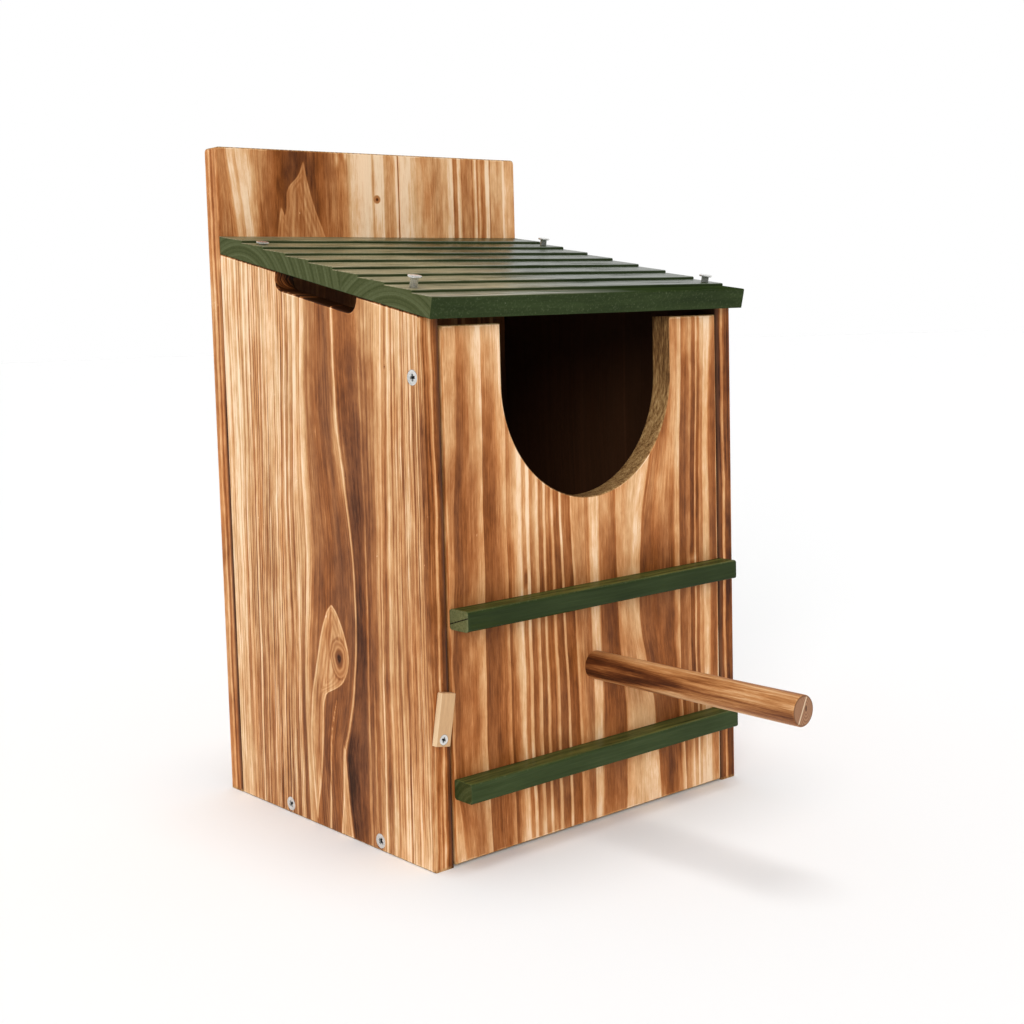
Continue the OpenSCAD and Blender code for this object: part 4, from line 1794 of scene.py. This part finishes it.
@dataclass
class Box:
    """The fixed box: two sides, back board, floor and stepped roof, with their screws and nails."""

    half_width: float = 112.0
    board: float = 12.0
    inner_back: float = 145.0
    back_high: float = 366.0
    side_screws: tuple[tuple[str, Gauge, float, float], ...] = (
        ("pivot_screw", PIVOT_SCREW, -21.0, 240.0),
        ("floor_screw_front", BOARD_SCREW, 16.0, 5.0),
        ("floor_screw_back", BOARD_SCREW, 96.0, 5.0),
    )
    back_screws: tuple[tuple[str, float], ...] = (("back_screw_low", 60.0), ("back_screw_high", 240.0))

    def build(self) -> None:
        """Builds the box's boards and dresses its fasteners."""
        self.left_side().build()
        self.right_side().build()
        self.back_board().build()
        self.floor_board().build()
        Roof().build()
        self.screws()
        self.roof_nails()

    def screws(self) -> None:
        """Builds the pivot screws, the floor screws and the back screws."""
        zinc = ZincSteel("screw_zinc", Zinc.BRIGHT).material()
        for name, sign in (("left_", -1), ("right_", 1)):
            for number, (kind, gauge, y, z) in enumerate(self.side_screws):
                seat = Seat((sign * self.half_width, y, z), (0, 1, 0), (0, 0, 1), (-sign, 0, 0))
                turn = 12.0 + 31 * number + 17 * sign
                Screw(name + kind, "box", seat, zinc, *gauge, turn=turn).build()
            for kind, z in self.back_screws:
                place = (sign * (self.half_width - self.board / 2), self.inner_back + self.board, z)
                seat = Seat(place, (1, 0, 0), (0, 0, 1), (0, -1, 0))
                turn = z * 0.3 + sign * 20
                Screw(name + kind, "box", seat, zinc, *BOARD_SCREW, turn=turn).build()

    def roof_nails(self) -> None:
        """Builds the four roof nails, each as far out of the roof as it was left."""
        zinc = ZincSteel("nail_zinc", Zinc.BRIGHT).material()
        roof = Roof()
        turn = math.radians(roof.slope)
        up = np.array([0, -math.sin(turn), math.cos(turn)])
        ahead = np.array([0, math.cos(turn), math.sin(turn)])
        nails = (
            ("left_roof_nail_front", -105.0, 14.0, 6.0),
            ("left_roof_nail_back", -105.0, 145.108, 1.6),
            ("right_roof_nail_front", 105.0, 14.0, 4.0),
            ("right_roof_nail_back", 105.0, 145.108, 4.4),
        )
        for name, x, run, proud in nails:
            base = np.array([x, roof.low_front, roof.low_high])
            place = base + ahead * run + up * (roof.height(run) + proud)
            seat = Seat(tuple(place), (1, 0, 0), tuple(ahead), tuple(-up))
            Nail(name, "box", seat, zinc, *ROOF_NAIL).build()

    def side_holes(self) -> tuple[ScrewHole, ...]:
        """The holes of a side: the pivot screw's and the two floor screws'."""
        return tuple(SCREW_BORE.driven(y, z, low=NEAR_EDGE) for _, _, y, z in self.side_screws)

    def left_side(self) -> SideBoard:
        """The left side, with a pale flame and a knot low at its front."""
        levels = (0, 30, 45, 60, 75, 90, 120, 150, 165, 180, 195, 210, 240, 280)
        guides = courses(
            levels,
            (-27,), (7.6, 10.6, 10, 9.8, 9.5, 9.2, 9, 8.5, 7.6, 7.1, 6.5, 5.8, 5, 3.5, 2),
            (20.6, 23.5, 22.8, 22.3, 21.8, 21.3, 21, 20.6, 20.6, 20.5, 20.4, 20.4, 20.5, 21, 21.5),
            (30.6, 40, 43.5, 44, 38.5, 34.5, 32.2, 30.3, 31.5, 33.5, 35.5, 37.5, 40.5, 42.2, 43),
            (67, 74, 75, 75.6, 76, 75.6, 75, 71, 68, 68.4, 69, 70, 70.5, 70, 67),
            (82, 85, 84.3, 84, 83.5, 83, 82.5, 82, 82, 81.8, 81.5, 80.8, 80, 78, 76),
            (100, 106, 105, 104.5, 104, 103.5, 103, 102, 100.5, 99.8, 99, 98.5, 98, 97, 95),
            (128, 130, 130, 129.8, 129.6, 129.3, 129, 128.5, 128, 127.6, 127.3, 127, 126.5, 126, 125.3),
            (145,),
        )
        stops = rows(
            Band,
            (-34.4, 0.3), (-33.6, 0.7), (-31.8, 0.7), (-31.2, 0.24), (-30.3, 0.62), (-28.2, 0.62),
            (-27.9, 0.25), (-27.5, 0.7), (-26, 0.62), (-24.5, 0.42, 0.8), (-12, 0.42, 0.8),
            (-2, 0.36, 0.5), (1.5, 0.26), (3, 0.55), (6, 0.52), (7.6, 0.12), (8.6, 0.5), (10.5, 0.3),
            (11.5, 0.52), (19.5, 0.58), (20.6, 0.3), (21.4, 0.66, 0.1), (24, 0.74, 0.05),
            (29.6, 0.72, 0.05), (30.6, 0.12, 0.05), (32, 0.6, 0.05), (40, 0.64, 0.05), (52, 0.6, 0.1),
            (64, 0.55, 0.1), (67, 0.3), (70.5, 0.18), (72, 0.6), (76.6, 0.62), (77.6, 0.36),
            (82, 0.34, 0.8), (82.6, 0.5, 0.9), (100, 0.42, 1.0), (120, 0.44, 1.0), (128, 0.32, 0.6),
            (133, 0.2, 0.6), (146, 0.2), (147.5, 0.5), (153, 0.5),
        )
        flames = (
            Flame(
                (3, 10, 20, 30, 40, 50, 60, 70, 74, 77, 80, 85, 90, 95, 105, 114, 119, 121.5),
                (70.6, 69.5, 67, 65, 63.5, 62.5, 61.5, 60, 57.5, 51, 45.5, 41, 38.5, 37.8, 40, 44.5, 48, 51),
                (71, 71.8, 72.8, 73.5, 74, 74, 73, 71.5, 70.8)
                + (70, 69, 67.5, 66, 64.5, 61.5, 57.5, 54.5, 51.5),
            ),
            Flame(
                (-5, 10, 20, 30, 40, 50),
                (39, 40.5, 41.5, 42.5, 43.2, 44.3),
                (50, 48, 46.5, 46, 45.4, 44.7),
            ),
            Flame((-5, 30, 55, 72), (58.4, 56.3, 53.8, 49), (59.6, 57.5, 55, 49.5)),
        )
        touches = rows(
            Touch,
            (44, 140, 26, 400, 0.05), (-10, 140, 22, 400, 0.02), (92, 258, 13, 20, -0.04),
            (-21, 62, 5.5, 75, -0.13), (0, 235, 6, 38, -0.09), (0, 95, 6, 32, 0.09),
            (10, 45, 6, 42, 0.08), (20, 178, 6, 70, 0.12), (29, 112, 7, 50, 0.14),
            (39, 38, 7, 30, 0.22), (69, 50, 5, 32, 0.09), (90, 220, 6, 55, -0.05),
            (-22, 112, 4, 30, -0.06), (50, 250, 6, 12, -0.07), (40, 150, 6, 16, 0.08),
            (60, 125, 7, 14, 0.1), (67, 62, 9, 45, 0.14), (60, 200, 6, 16, -0.06),
            (90, 170, 6, 100, -0.12), (110, 95, 7, 100, 0.08), (120, 60, 6, 50, 0.06),
            (138, 75, 8, 70, 0.05), (56, 215, 12, 55, 0.04), (50, 140, 6, 42, 0.07),
            (37.5, 188, 3.2, 20, -0.2), (42.5, 216, 3.2, 24, -0.24), (47, 35, 4, 30, -0.14),
            (0, 275, 45, 45, -0.14), (-14, -6, 16, 30, -0.26), (-14, 95, 12, 55, 0.07),
            (112, 275, 50, 90, -0.2), (112, 10, 45, 70, 0.07), (75, 190, 5, 95, -0.34),
            (87, 20, 3, 60, 0.16), (60, 210, 0.7, 1.8, -0.3), (57, 153, 0.6, 1.2, -0.3),
        )
        knots = (Knot(46, 94, 7.4, 10.5), Knot(0, 245, 0.9, 1.1))
        grain = Grain(levels, guides, stops, flames, touches, knots, seed=1.0)
        finish = ScorchedFir("left_side_fir", grain, 0.25, 0.33, across_axis=1, red_below=-27.5, loose=1.25)
        seat = Seat((-self.half_width, 0, 0), (0, 1, 0), (0, 0, 1), (1, 0, 0))
        holes = self.side_holes()
        return SideBoard("left_side", "box", seat, self.board, finish, holes=holes)

    def right_side(self) -> SideBoard:
        """The right side, with straighter grain and a redder edge."""
        levels = (0, 90, 180, 280)
        guides = courses(
            levels,
            (-27,), (4, 8, 6, 3, 1), (34, 30, 33, 37, 36), (76, 70, 74, 80, 78),
            (112, 110, 113, 114, 116), (145,),
        )
        stops = rows(
            Band,
            (-34.4, 0.3), (-33.9, 0.15), (-33.5, 0.72), (-32, 0.76), (-31.7, 0.38), (-30.6, 0.42),
            (-30.3, 0.78), (-27.6, 0.8), (-25, 0.6), (-16, 0.5), (-3, 0.34), (2, 0.6), (4, 0.14),
            (5.5, 0.52), (20, 0.62), (33, 0.7), (34.4, 0.14), (36, 0.55), (58, 0.6, 0.5), (74, 0.5),
            (76, 0.2), (78, 0.42, 0.7), (110, 0.46, 0.9), (112, 0.24), (114, 0.44), (128, 0.34, 0.5),
            (145, 0.3), (153, 0.5),
        )
        grain = Grain(levels, guides, stops, (), (Touch(40, 60, 14, 50, 0.08),), (), seed=5.0)
        finish = ScorchedFir("right_side_fir", grain, 0.8, across_axis=1)
        seat = Seat((self.half_width, 0, 0), (0, 1, 0), (0, 0, 1), (-1, 0, 0))
        holes = self.side_holes()
        return SideBoard("right_side", "box", seat, self.board, finish, holes=holes)

    def back_board(self) -> StraightBoard:
        """The back board, which shows above the roof with its dark middle and its flames."""
        levels = (0, 315, 340, 364)
        guides = courses(
            levels,
            (-112,), (-101.6, -99, -98.5, -101.5, -105), (-96.2, -94, -93.5, -96, -99), (-77,), (-20,),
            (16.5,), (60,), (90,), (112,),
        )
        stops = rows(
            Band,
            (-119.4, 0.4), (-117, 0.42), (-116.3, 0.15), (-115.6, 0.45), (-114.8, 0.75), (-114.2, 0.42),
            (-112.3, 0.45), (-111.8, 0.7), (-110.5, 0.5), (-104, 0.43, 0.6), (-102, 0.4),
            (-101.6, 0.06), (-98, 0.23), (-96.6, 0.29), (-96.2, 0.02), (-90, 0.13), (-84, 0.42),
            (-77, 0.5), (-70, 0.68), (-58, 0.72), (-45, 0.64), (-35, 0.5), (-25, 0.47), (-22, 0.34),
            (-19, 0.15), (-13, 0.02), (-4, 0.0), (-2.8, 0.3), (-1.5, 0.03), (3, 0.02), (4.8, 0.0),
            (5.6, 0.33), (13, 0.31), (14.5, 0.0), (16.1, 0.03), (16.5, 1.0), (17.1, 0.05), (24, 0.07),
            (31, 0.2), (38, 0.33), (48, 0.34), (54, 0.2), (57, 0.06), (60.2, 0.0), (60.8, 0.53),
            (63.5, 0.5), (64.3, 0.08), (66.5, 0.17), (67.5, 0.45), (75, 0.41), (76.5, 0.57),
            (78.3, 0.08), (79.5, 0.08), (80.3, 0.57), (82.5, 0.2), (84, 0.55), (86.5, 0.45), (88, 0.03),
            (90, 0.08), (90.8, 0.63), (92, 0.32), (101, 0.3), (102, 0.06), (104, 0.27), (111, 0.33),
            (112, 0.6), (119.4, 0.5),
        )
        flames = (
            Flame(
                (243, 260, 280, 300, 315, 325, 334),
                (-67, -69, -72, -74, -73, -71.5, -70),
                (-67, -63, -57, -52, -60, -65.5, -69.8),
            ),
            Flame(
                (222, 240, 262, 282, 300, 315, 328, 333, 346, 350, 360),
                (-52, -57, -62, -66, -68, -68, -67, -66, -63, -58.5, -53),
                (-52, -50, -46, -41, -39, -39, -44, -46, -50, -51, -53),
            ),
        )
        touches = rows(
            Touch,
            (-50, 362, 22, 12, 0.08), (-72, 350, 9, 22, 0.07), (-84, 320, 10, 18, 0.2),
            (-64, 333, 8, 8, -0.07), (18, 334, 8, 10, -0.06), (97, 360, 14, 8, -0.08),
            (64, 360, 5, 8, -0.08), (43, 344, 6, 10, 0.06), (54, 332, 4, 8, -0.06),
            (-76, 358, 10, 10, -0.1), (-46, 350, 6, 14, 0.1), (-38, 328, 9, 22, 0.05),
            (2, 318, 4, 10, 0.12), (-29, 362, 1.5, 4, -0.4), (-23, 364, 1.2, 2.5, -0.4),
        )
        grain = Grain(levels, guides, stops, flames, touches, (Knot(0, 339, 2.5, 2.5),), seed=9.0)
        finish = ScorchedFir("back_board_fir", grain, 0.75, 0.42, flame_rim=0.12, loose=0.45)
        seat = Seat((0, self.inner_back, 0), (1, 0, 0), (0, 0, 1), (0, 1, 0))
        out = self.half_width - self.board / 2
        holes = tuple(SCREW_BORE.driven(x, z, False) for x in (-out, out) for _, z in self.back_screws)
        return StraightBoard(
            "back_board",
            "box",
            seat,
            self.board,
            finish,
            holes=holes,
            left=-self.half_width,
            right=self.half_width,
            high=self.back_high,
            fine_from=300.0,
        )

    def floor_board(self) -> StraightBoard:
        """The floor board, between the sides."""
        guides = (Guide(-15, (-14, -16)), Guide(60, (63, 58)), Guide(145, (145, 143)))
        stops = rows(Band, (-20, 0.5), (10, 0.62), (40, 0.4, 0.8), (70, 0.58), (100, 0.44, 0.8), (151, 0.6))
        grain = Grain((-100, 100), guides, stops, seed=13.0)
        finish = ScorchedFir("floor_board_fir", grain, 0.6, across_axis=1, along_axis=0)
        seat = Seat((0, 0, 10), (0, 1, 0), (1, 0, 0), (0, 0, -1))
        half = self.half_width - self.board
        return StraightBoard(
            "floor_board",
            "box",
            seat,
            10.0,
            finish,
            arris=0.4,
            left=-14.7,
            right=self.inner_back,
            low=-half,
            high=half,
            corner=0.8,
        )


@dataclass
class Door:
    """The front panel that swings on the two pivot screws, with its battens and perch."""

    front: float = -27.0
    thick: float = 12.0
    middle: float = 0.5
    upper_batten: float = 118.0
    lower_batten: float = 34.0
    batten_high: float = 10.2
    nail_apart: float = 70.0
    perch_high: float = 84.0

    def build(self) -> None:
        """Builds the panel, the battens and the perch, and dresses their fasteners."""
        self.panel().build()
        Batten("upper_batten", self.upper_batten, bare_end=-98.5).build()
        Batten("lower_batten", self.lower_batten, lift=0.2).build()
        Perch(self.middle, self.perch_high).build()
        self.fasteners()

    def fasteners(self) -> None:
        """Builds the perch screw and the batten nails, all driven from inside."""
        inner = self.front + self.thick
        bright = ZincSteel("perch_screw_zinc", Zinc.BRIGHT).material()
        dull = ZincSteel("batten_nail_zinc", Zinc.DULL).material()
        axes = ((1, 0, 0), (0, 0, 1), (0, -1, 0))
        seat = Seat((self.middle, inner, self.perch_high), *axes)
        Screw("perch_screw", "door", seat, bright, *PERCH_SCREW).build()
        for name, base in (("upper", self.upper_batten), ("lower", self.lower_batten)):
            for side, sign in (("left", -1), ("right", 1)):
                place = (self.middle + sign * self.nail_apart, inner, base + self.batten_high / 2)
                node = f"{name}_batten_nail_{side}"
                Nail(node, "door", Seat(place, *axes), dull, *BATTEN_NAIL, around=48, thick=0.8).build()

    def holes(self) -> tuple[ScrewHole, ...]:
        """The holes of the panel: the perch screw's and the batten nails', with their heads inside."""
        middles = [base + self.batten_high / 2 for base in (self.lower_batten, self.upper_batten)]
        nails = [(self.middle + side * self.nail_apart, z) for side in (-1, 1) for z in middles]
        screw = SCREW_BORE.driven(self.middle, self.perch_high, False)
        return (screw, *(NAIL_BORE.driven(x, z, False) for x, z in nails))

    def panel(self) -> PanelBoard:
        """The front panel."""
        levels = (0, 18, 46, 55, 80, 100, 131, 146, 160, 195, 225, 250)
        guides = courses(
            levels,
            (-98,), (-94, -92, -93, -97, -97, -96, -97, -95, -94.2, -94, -91.4, -90, -89.5),
            (-75, -74, -74.7, -75.6, -75.8, -75.8, -75.8, -75.1, -74.7, -74.7, -74.6, -74.2, -74.2),
            (-60, -58, -58.4, -59.2, -59.6, -59.8, -60, -60, -60, -60.2, -60, -60, -60),
            (-44, -42.2, -42.6, -43.8, -44, -44, -44, -44, -44, -44, -44, -44, -44),
            (-34, -32.6, -33, -33.4, -33.6, -33.8, -34.2, -34.1, -34, -34, -34, -34, -34),
            (-22, -18, -18.3, -18.6, -18.9, -19.6, -20.4, -21.4, -21.7, -22.5, -23.5, -24, -24),
            (-14, -9.5, -9.8, -10.2, -10.8, -11.6, -12.2, -13.3, -14, -14.6, -15.4, -16, -16),
            (4.5, 4.5, 4.8, 4.9, 5.3, 5.6, 5.2, 4.6, 4.6, 4.6, 4.6, 4.6, 4.6),
            (18, 23, 23.6, 24, 23.6, 21.2, 19.5, 18.3, 18.2, 17.8, 17, 16, 16),
            (37, 50, 49.5, 46.6, 45.8, 40.5, 36, 36, 37, 38, 46, 50, 50),
            (67.8, 70.8, 70.4, 68.9, 68.2, 67.9, 67.7, 67.8, 67.8, 67.8, 68.9, 70.4, 71),
            (80.2, 81.5, 81.6, 81.6, 81.2, 80.2, 80.2, 80.2, 80.2, 80.4, 81.8, 82.8, 83.2),
            (93, 93, 93, 93, 93, 93, 93, 93, 93, 93, 92.8, 93.5, 95), (100,),
        )
        stops = rows(
            Band,
            (-106, 0.52), (-99.4, 0.42), (-98.4, 0.72), (-97.8, 0.38), (-94.6, 0.4), (-93.8, 0.66),
            (-89, 0.62, 0.5), (-84, 0.52, 0.4), (-80, 0.46), (-77.5, 0.28), (-75.2, 0.22),
            (-74.8, 0.68), (-69, 0.68, 0.5), (-62, 0.54, 0.7), (-61, 0.42), (-59.6, 0.34),
            (-59.2, 0.66), (-57.4, 0.56, 0.7), (-54, 0.28), (-51.6, 0.12), (-50, 0.08), (-48.8, 0.42),
            (-47, 0.48), (-46, 0.12), (-44.4, 0.18), (-43.9, 0.66), (-41.6, 0.6), (-40, 0.38),
            (-38.4, 0.22), (-37.9, 0.68), (-35.2, 0.68), (-34.4, 0.26), (-33.4, 0.28), (-32.8, 0.64),
            (-29.4, 0.68, 0.8), (-28.6, 0.28), (-27.6, 0.28), (-27, 0.64), (-23.2, 0.7), (-22.6, 0.2),
            (-21.6, 0.2), (-21, 0.66), (-15, 0.68, 0.7), (-14.4, 0.26), (-12.8, 0.38), (-6, 0.46, 0.7),
            (-3, 0.52, 0.6), (-1.8, 0.16), (3.8, 0.12), (4.6, 0.32), (5.6, 0.58), (10, 0.66),
            (17.4, 0.72), (18.2, 0.36), (23, 0.34), (33, 0.18), (36.4, 0.26), (37, 0.68),
            (48, 0.68, 0.3), (62, 0.7, 0.5), (64, 0.44), (67.2, 0.26), (67.9, 0.7), (72, 0.66, 0.6),
            (74.5, 0.48), (76, 0.44), (76.8, 0.72), (79.4, 0.7), (80, 0.26), (80.8, 0.32), (81.4, 0.64),
            (83.4, 0.62), (84, 0.36), (86.6, 0.42), (87.4, 0.2), (91.6, 0.22), (93.2, 0.54), (96, 0.68),
            (98.6, 0.68), (99.1, 0.32), (100, 0.22), (108, 0.42),
        )
        # The rows 300 wide run across the whole panel: paler along its top and bottom, and a little darker
        # along the top of the upper batten, there partly the wood's tone and partly painted shade in the
        # crease.
        touches = rows(
            Touch,
            (0, 268, 300, 30, -0.2), (-67, 255, 11, 45, -0.28), (-62, 215, 4, 45, -0.15),
            (-79, 225, 5, 40, -0.12), (64.5, 222, 4.5, 58, -0.34), (11, 168, 6.5, 20, -0.36),
            (28, 168, 10, 16, -0.12), (52, 172, 10, 30, -0.34), (-42, 172, 22, 24, -0.26),
            (90, 262, 10, 24, -0.1), (92, 160, 7, 24, 0.12), (0, -6, 300, 13, -0.16),
            (-92, 4, 10, 22, -0.2), (86, 2, 18, 32, -0.32), (-36, 4, 11, 18, -0.18),
            (27, 4, 12, 20, -0.16), (50, 3, 4, 12, -0.12), (60, 20, 8, 16, 0.1), (-52, 60, 8, 34, 0.06),
            (-4, 72, 2.5, 50, 0.12), (0, 128, 300, 12, 0.04), (-53, 26, 6, 30, 0.17),
            (-91, 180, 8, 45, 0.09), (4, 139, 9, 14, -0.14), (81, 10, 6, 16, -0.12),
            (98.8, 80, 1, 110, -0.3), (83, 160, 4, 20, 0.12), (78, 131, 3, 1.6, -0.4),
            (-47.5, 136, 1.2, 3, 0.5), (-81, 12, 7, 14, 0.12), (-39, 14, 3.5, 14, -0.13),
            (-21.5, 20, 5, 12, 0.1), (-10.5, 14, 3.5, 14, -0.1), (0, 16, 6, 14, 0.13),
            (25, 20, 4, 8, -0.07), (59, 14, 3, 14, 0.15), (67, 12, 4, 14, -0.1),
            (-95, 104, 5, 12, 0.12), (-60, 88, 3.5, 36, -0.09), (-45, 105, 7, 10, 0.1),
            (-18, 105, 3, 8, -0.08), (6, 104, 9, 8, 0.09), (38, 100, 4, 14, -0.1),
            (63, 104, 6, 9, 0.11), (82, 96, 6, 14, -0.1), (-74, 84, 3, 8, 0.09), (5, 58, 9, 10, 0.14),
            (-53, 60, 3.5, 12, 0.08), (-82, 148, 6, 14, -0.09), (-66, 166, 6, 8, 0.08),
            (-4, 166, 3.5, 8, -0.1), (95, 146, 4, 10, 0.12), (59, 190, 5, 12, -0.09),
            (87, 200, 4, 20, 0.1), (-91, 225, 6, 18, 0.07), (72, 235, 4, 14, 0.09),
            (-74, 10, 4, 12, 0.09), (-4, 14, 3, 14, 0.07), (51.5, 6, 3, 8, -0.1),
            (76, 16, 6, 10, -0.07),
        )
        grain = Grain(levels, guides, stops, (), touches, (), seed=3.0)
        finish = ScorchedFir("front_panel_fir", grain, 0.75, drift=0.1, loose=0.3, end_rings=0.03)
        seat = Seat((0, self.front, 0), (1, 0, 0), (0, 0, 1), (0, 1, 0))
        holes = self.holes()
        return PanelBoard("front_panel", "door", seat, self.thick, finish, 0.8, holes)


@dataclass
class Latch:
    """The turn button that keeps the door shut, with its screw in the box."""

    middle_x: float = -106.998
    outer_y: float = -30.5

    def build(self) -> None:
        """Builds the button and its screw."""
        button = TurnButton(self.middle_x, self.outer_y)
        button.build()
        zinc = ZincSteel("button_screw_zinc", Zinc.BRIGHT).material()
        seat = Seat((self.middle_x, self.outer_y, button.middle_z), (1, 0, 0), (0, 0, 1), (0, 1, 0))
        Screw("turn_button_screw", "box", seat, zinc, *BUTTON_SCREW, turn=65.0).build()


# ---- Studio ----


@dataclass
class Studio:
    """A pale floor under an even white sky, with soft lights, and the camera."""

    azimuth: float = 37.153
    drop: float = 5.363
    roll: float = -1.994
    lens: float = 52.48
    shift: tuple[float, float] = (0.1422, -0.0527)
    place: tuple[float, float, float] = (-0.5558, -0.5689, 0.2688)
    floor_reach: float = 12.0
    floor_white: float = 0.945
    sky_light: float = 0.4
    sun_width: float = 30.0

    def build(self) -> None:
        """Lays the floor, lights the scene and sets the camera."""
        self.floor()
        self.sky()
        self.sun("overhead", (0, 0, 1), 1.5)
        self.sun("front_left", (-0.70, -0.62, 0.355), 1.85)
        self.camera()
        bpy.context.scene.view_settings.view_transform = "Standard"

    def floor(self) -> None:
        """Lays a round floor that spreads out as the square of the ring's number."""
        rings, around = 24, 64
        ring = (np.arange(1, rings + 1) / rings) ** 2 * self.floor_reach
        points = ringed(ring, np.zeros(rings), around)
        index = np.arange(rings * around).reshape(rings, around)
        after = np.roll(index, -1, axis=1)
        quads = np.stack([index[:-1], index[1:], after[1:], after[:-1]], -1).reshape(-1, 4)
        mesh = bpy.data.meshes.new("floor")
        mesh.from_pydata(points.reshape(-1, 3), [], [*quads.tolist(), index[0].tolist()])
        recipe = Recipe("floor_white")
        white = (*[self.floor_white] * 3, 1.0)
        mesh.materials.append(recipe.finish(Base_Color=white, Roughness=0.85))
        floor = bpy.data.objects.new("floor", mesh)
        bpy.context.scene.collection.objects.link(floor)

    def sky(self) -> None:
        """Makes the sky white to look at, dimmer as a light, and darker in a gloss near the camera."""
        world = bpy.data.worlds.new("sky")
        world.use_nodes = True
        graph = Graph(world.node_tree)
        path = graph.add("ShaderNodeLightPath")
        x, y, _ = graph.parts(graph.add("ShaderNodeTexCoord").outputs["Generated"])
        azimuth = math.radians(self.azimuth)
        ahead = x * math.sin(azimuth) + y * math.cos(azimuth)
        gloss = ahead.step(-0.5, 0.7, 0.25, 1.0)
        lit = gloss + (self.sky_light - gloss) * Wire(graph, path.outputs["Is Diffuse Ray"])
        seen = lit + (1.0 - lit) * Wire(graph, path.outputs["Is Camera Ray"])
        shade = graph.tree.nodes["Background"]
        graph.feed(shade.inputs["Color"], (1.0, 1.0, 1.0, 1.0))
        graph.feed(shade.inputs["Strength"], seen)
        bpy.context.scene.world = world

    def sun(self, name: str, source: tuple[float, float, float], power: float) -> None:
        """Adds a wide, soft light from a direction."""
        data = bpy.data.lights.new(name, "SUN")
        data.angle = math.radians(self.sun_width)
        data.energy = power
        lamp = bpy.data.objects.new(name, data)
        lamp.visible_glossy = False
        lamp.rotation_euler = Vector(source).to_track_quat("Z", "Y").to_euler()
        bpy.context.scene.collection.objects.link(lamp)

    def camera(self) -> None:
        """Sets the camera by its direction, its roll and its place."""
        azimuth, drop, roll = (math.radians(v) for v in (self.azimuth, self.drop, self.roll))
        ahead = Vector(
            (math.sin(azimuth) * math.cos(drop), math.cos(azimuth) * math.cos(drop), -math.sin(drop))
        )
        level = Vector((math.cos(azimuth), -math.sin(azimuth), 0))
        rise = level.cross(ahead)
        right = level * math.cos(roll) + rise * math.sin(roll)
        up = rise * math.cos(roll) - level * math.sin(roll)
        data = bpy.data.cameras.new("camera")
        data.lens = self.lens
        data.sensor_width = 36.0
        data.shift_x, data.shift_y = self.shift
        data.clip_start = 0.05
        camera = bpy.data.objects.new("camera", data)
        camera.matrix_world = Matrix((right, up, -ahead)).transposed().to_4x4()
        camera.location = self.place
        bpy.context.scene.collection.objects.link(camera)
        bpy.context.scene.camera = camera


def main() -> None:
    """Builds the box, the door, the latch and the studio."""
    logging.basicConfig(level=logging.INFO, format="%(message)s")
    Box().build()
    Door().build()
    Latch().build()
    Studio().build()


if __name__ == "__main__":
    main()
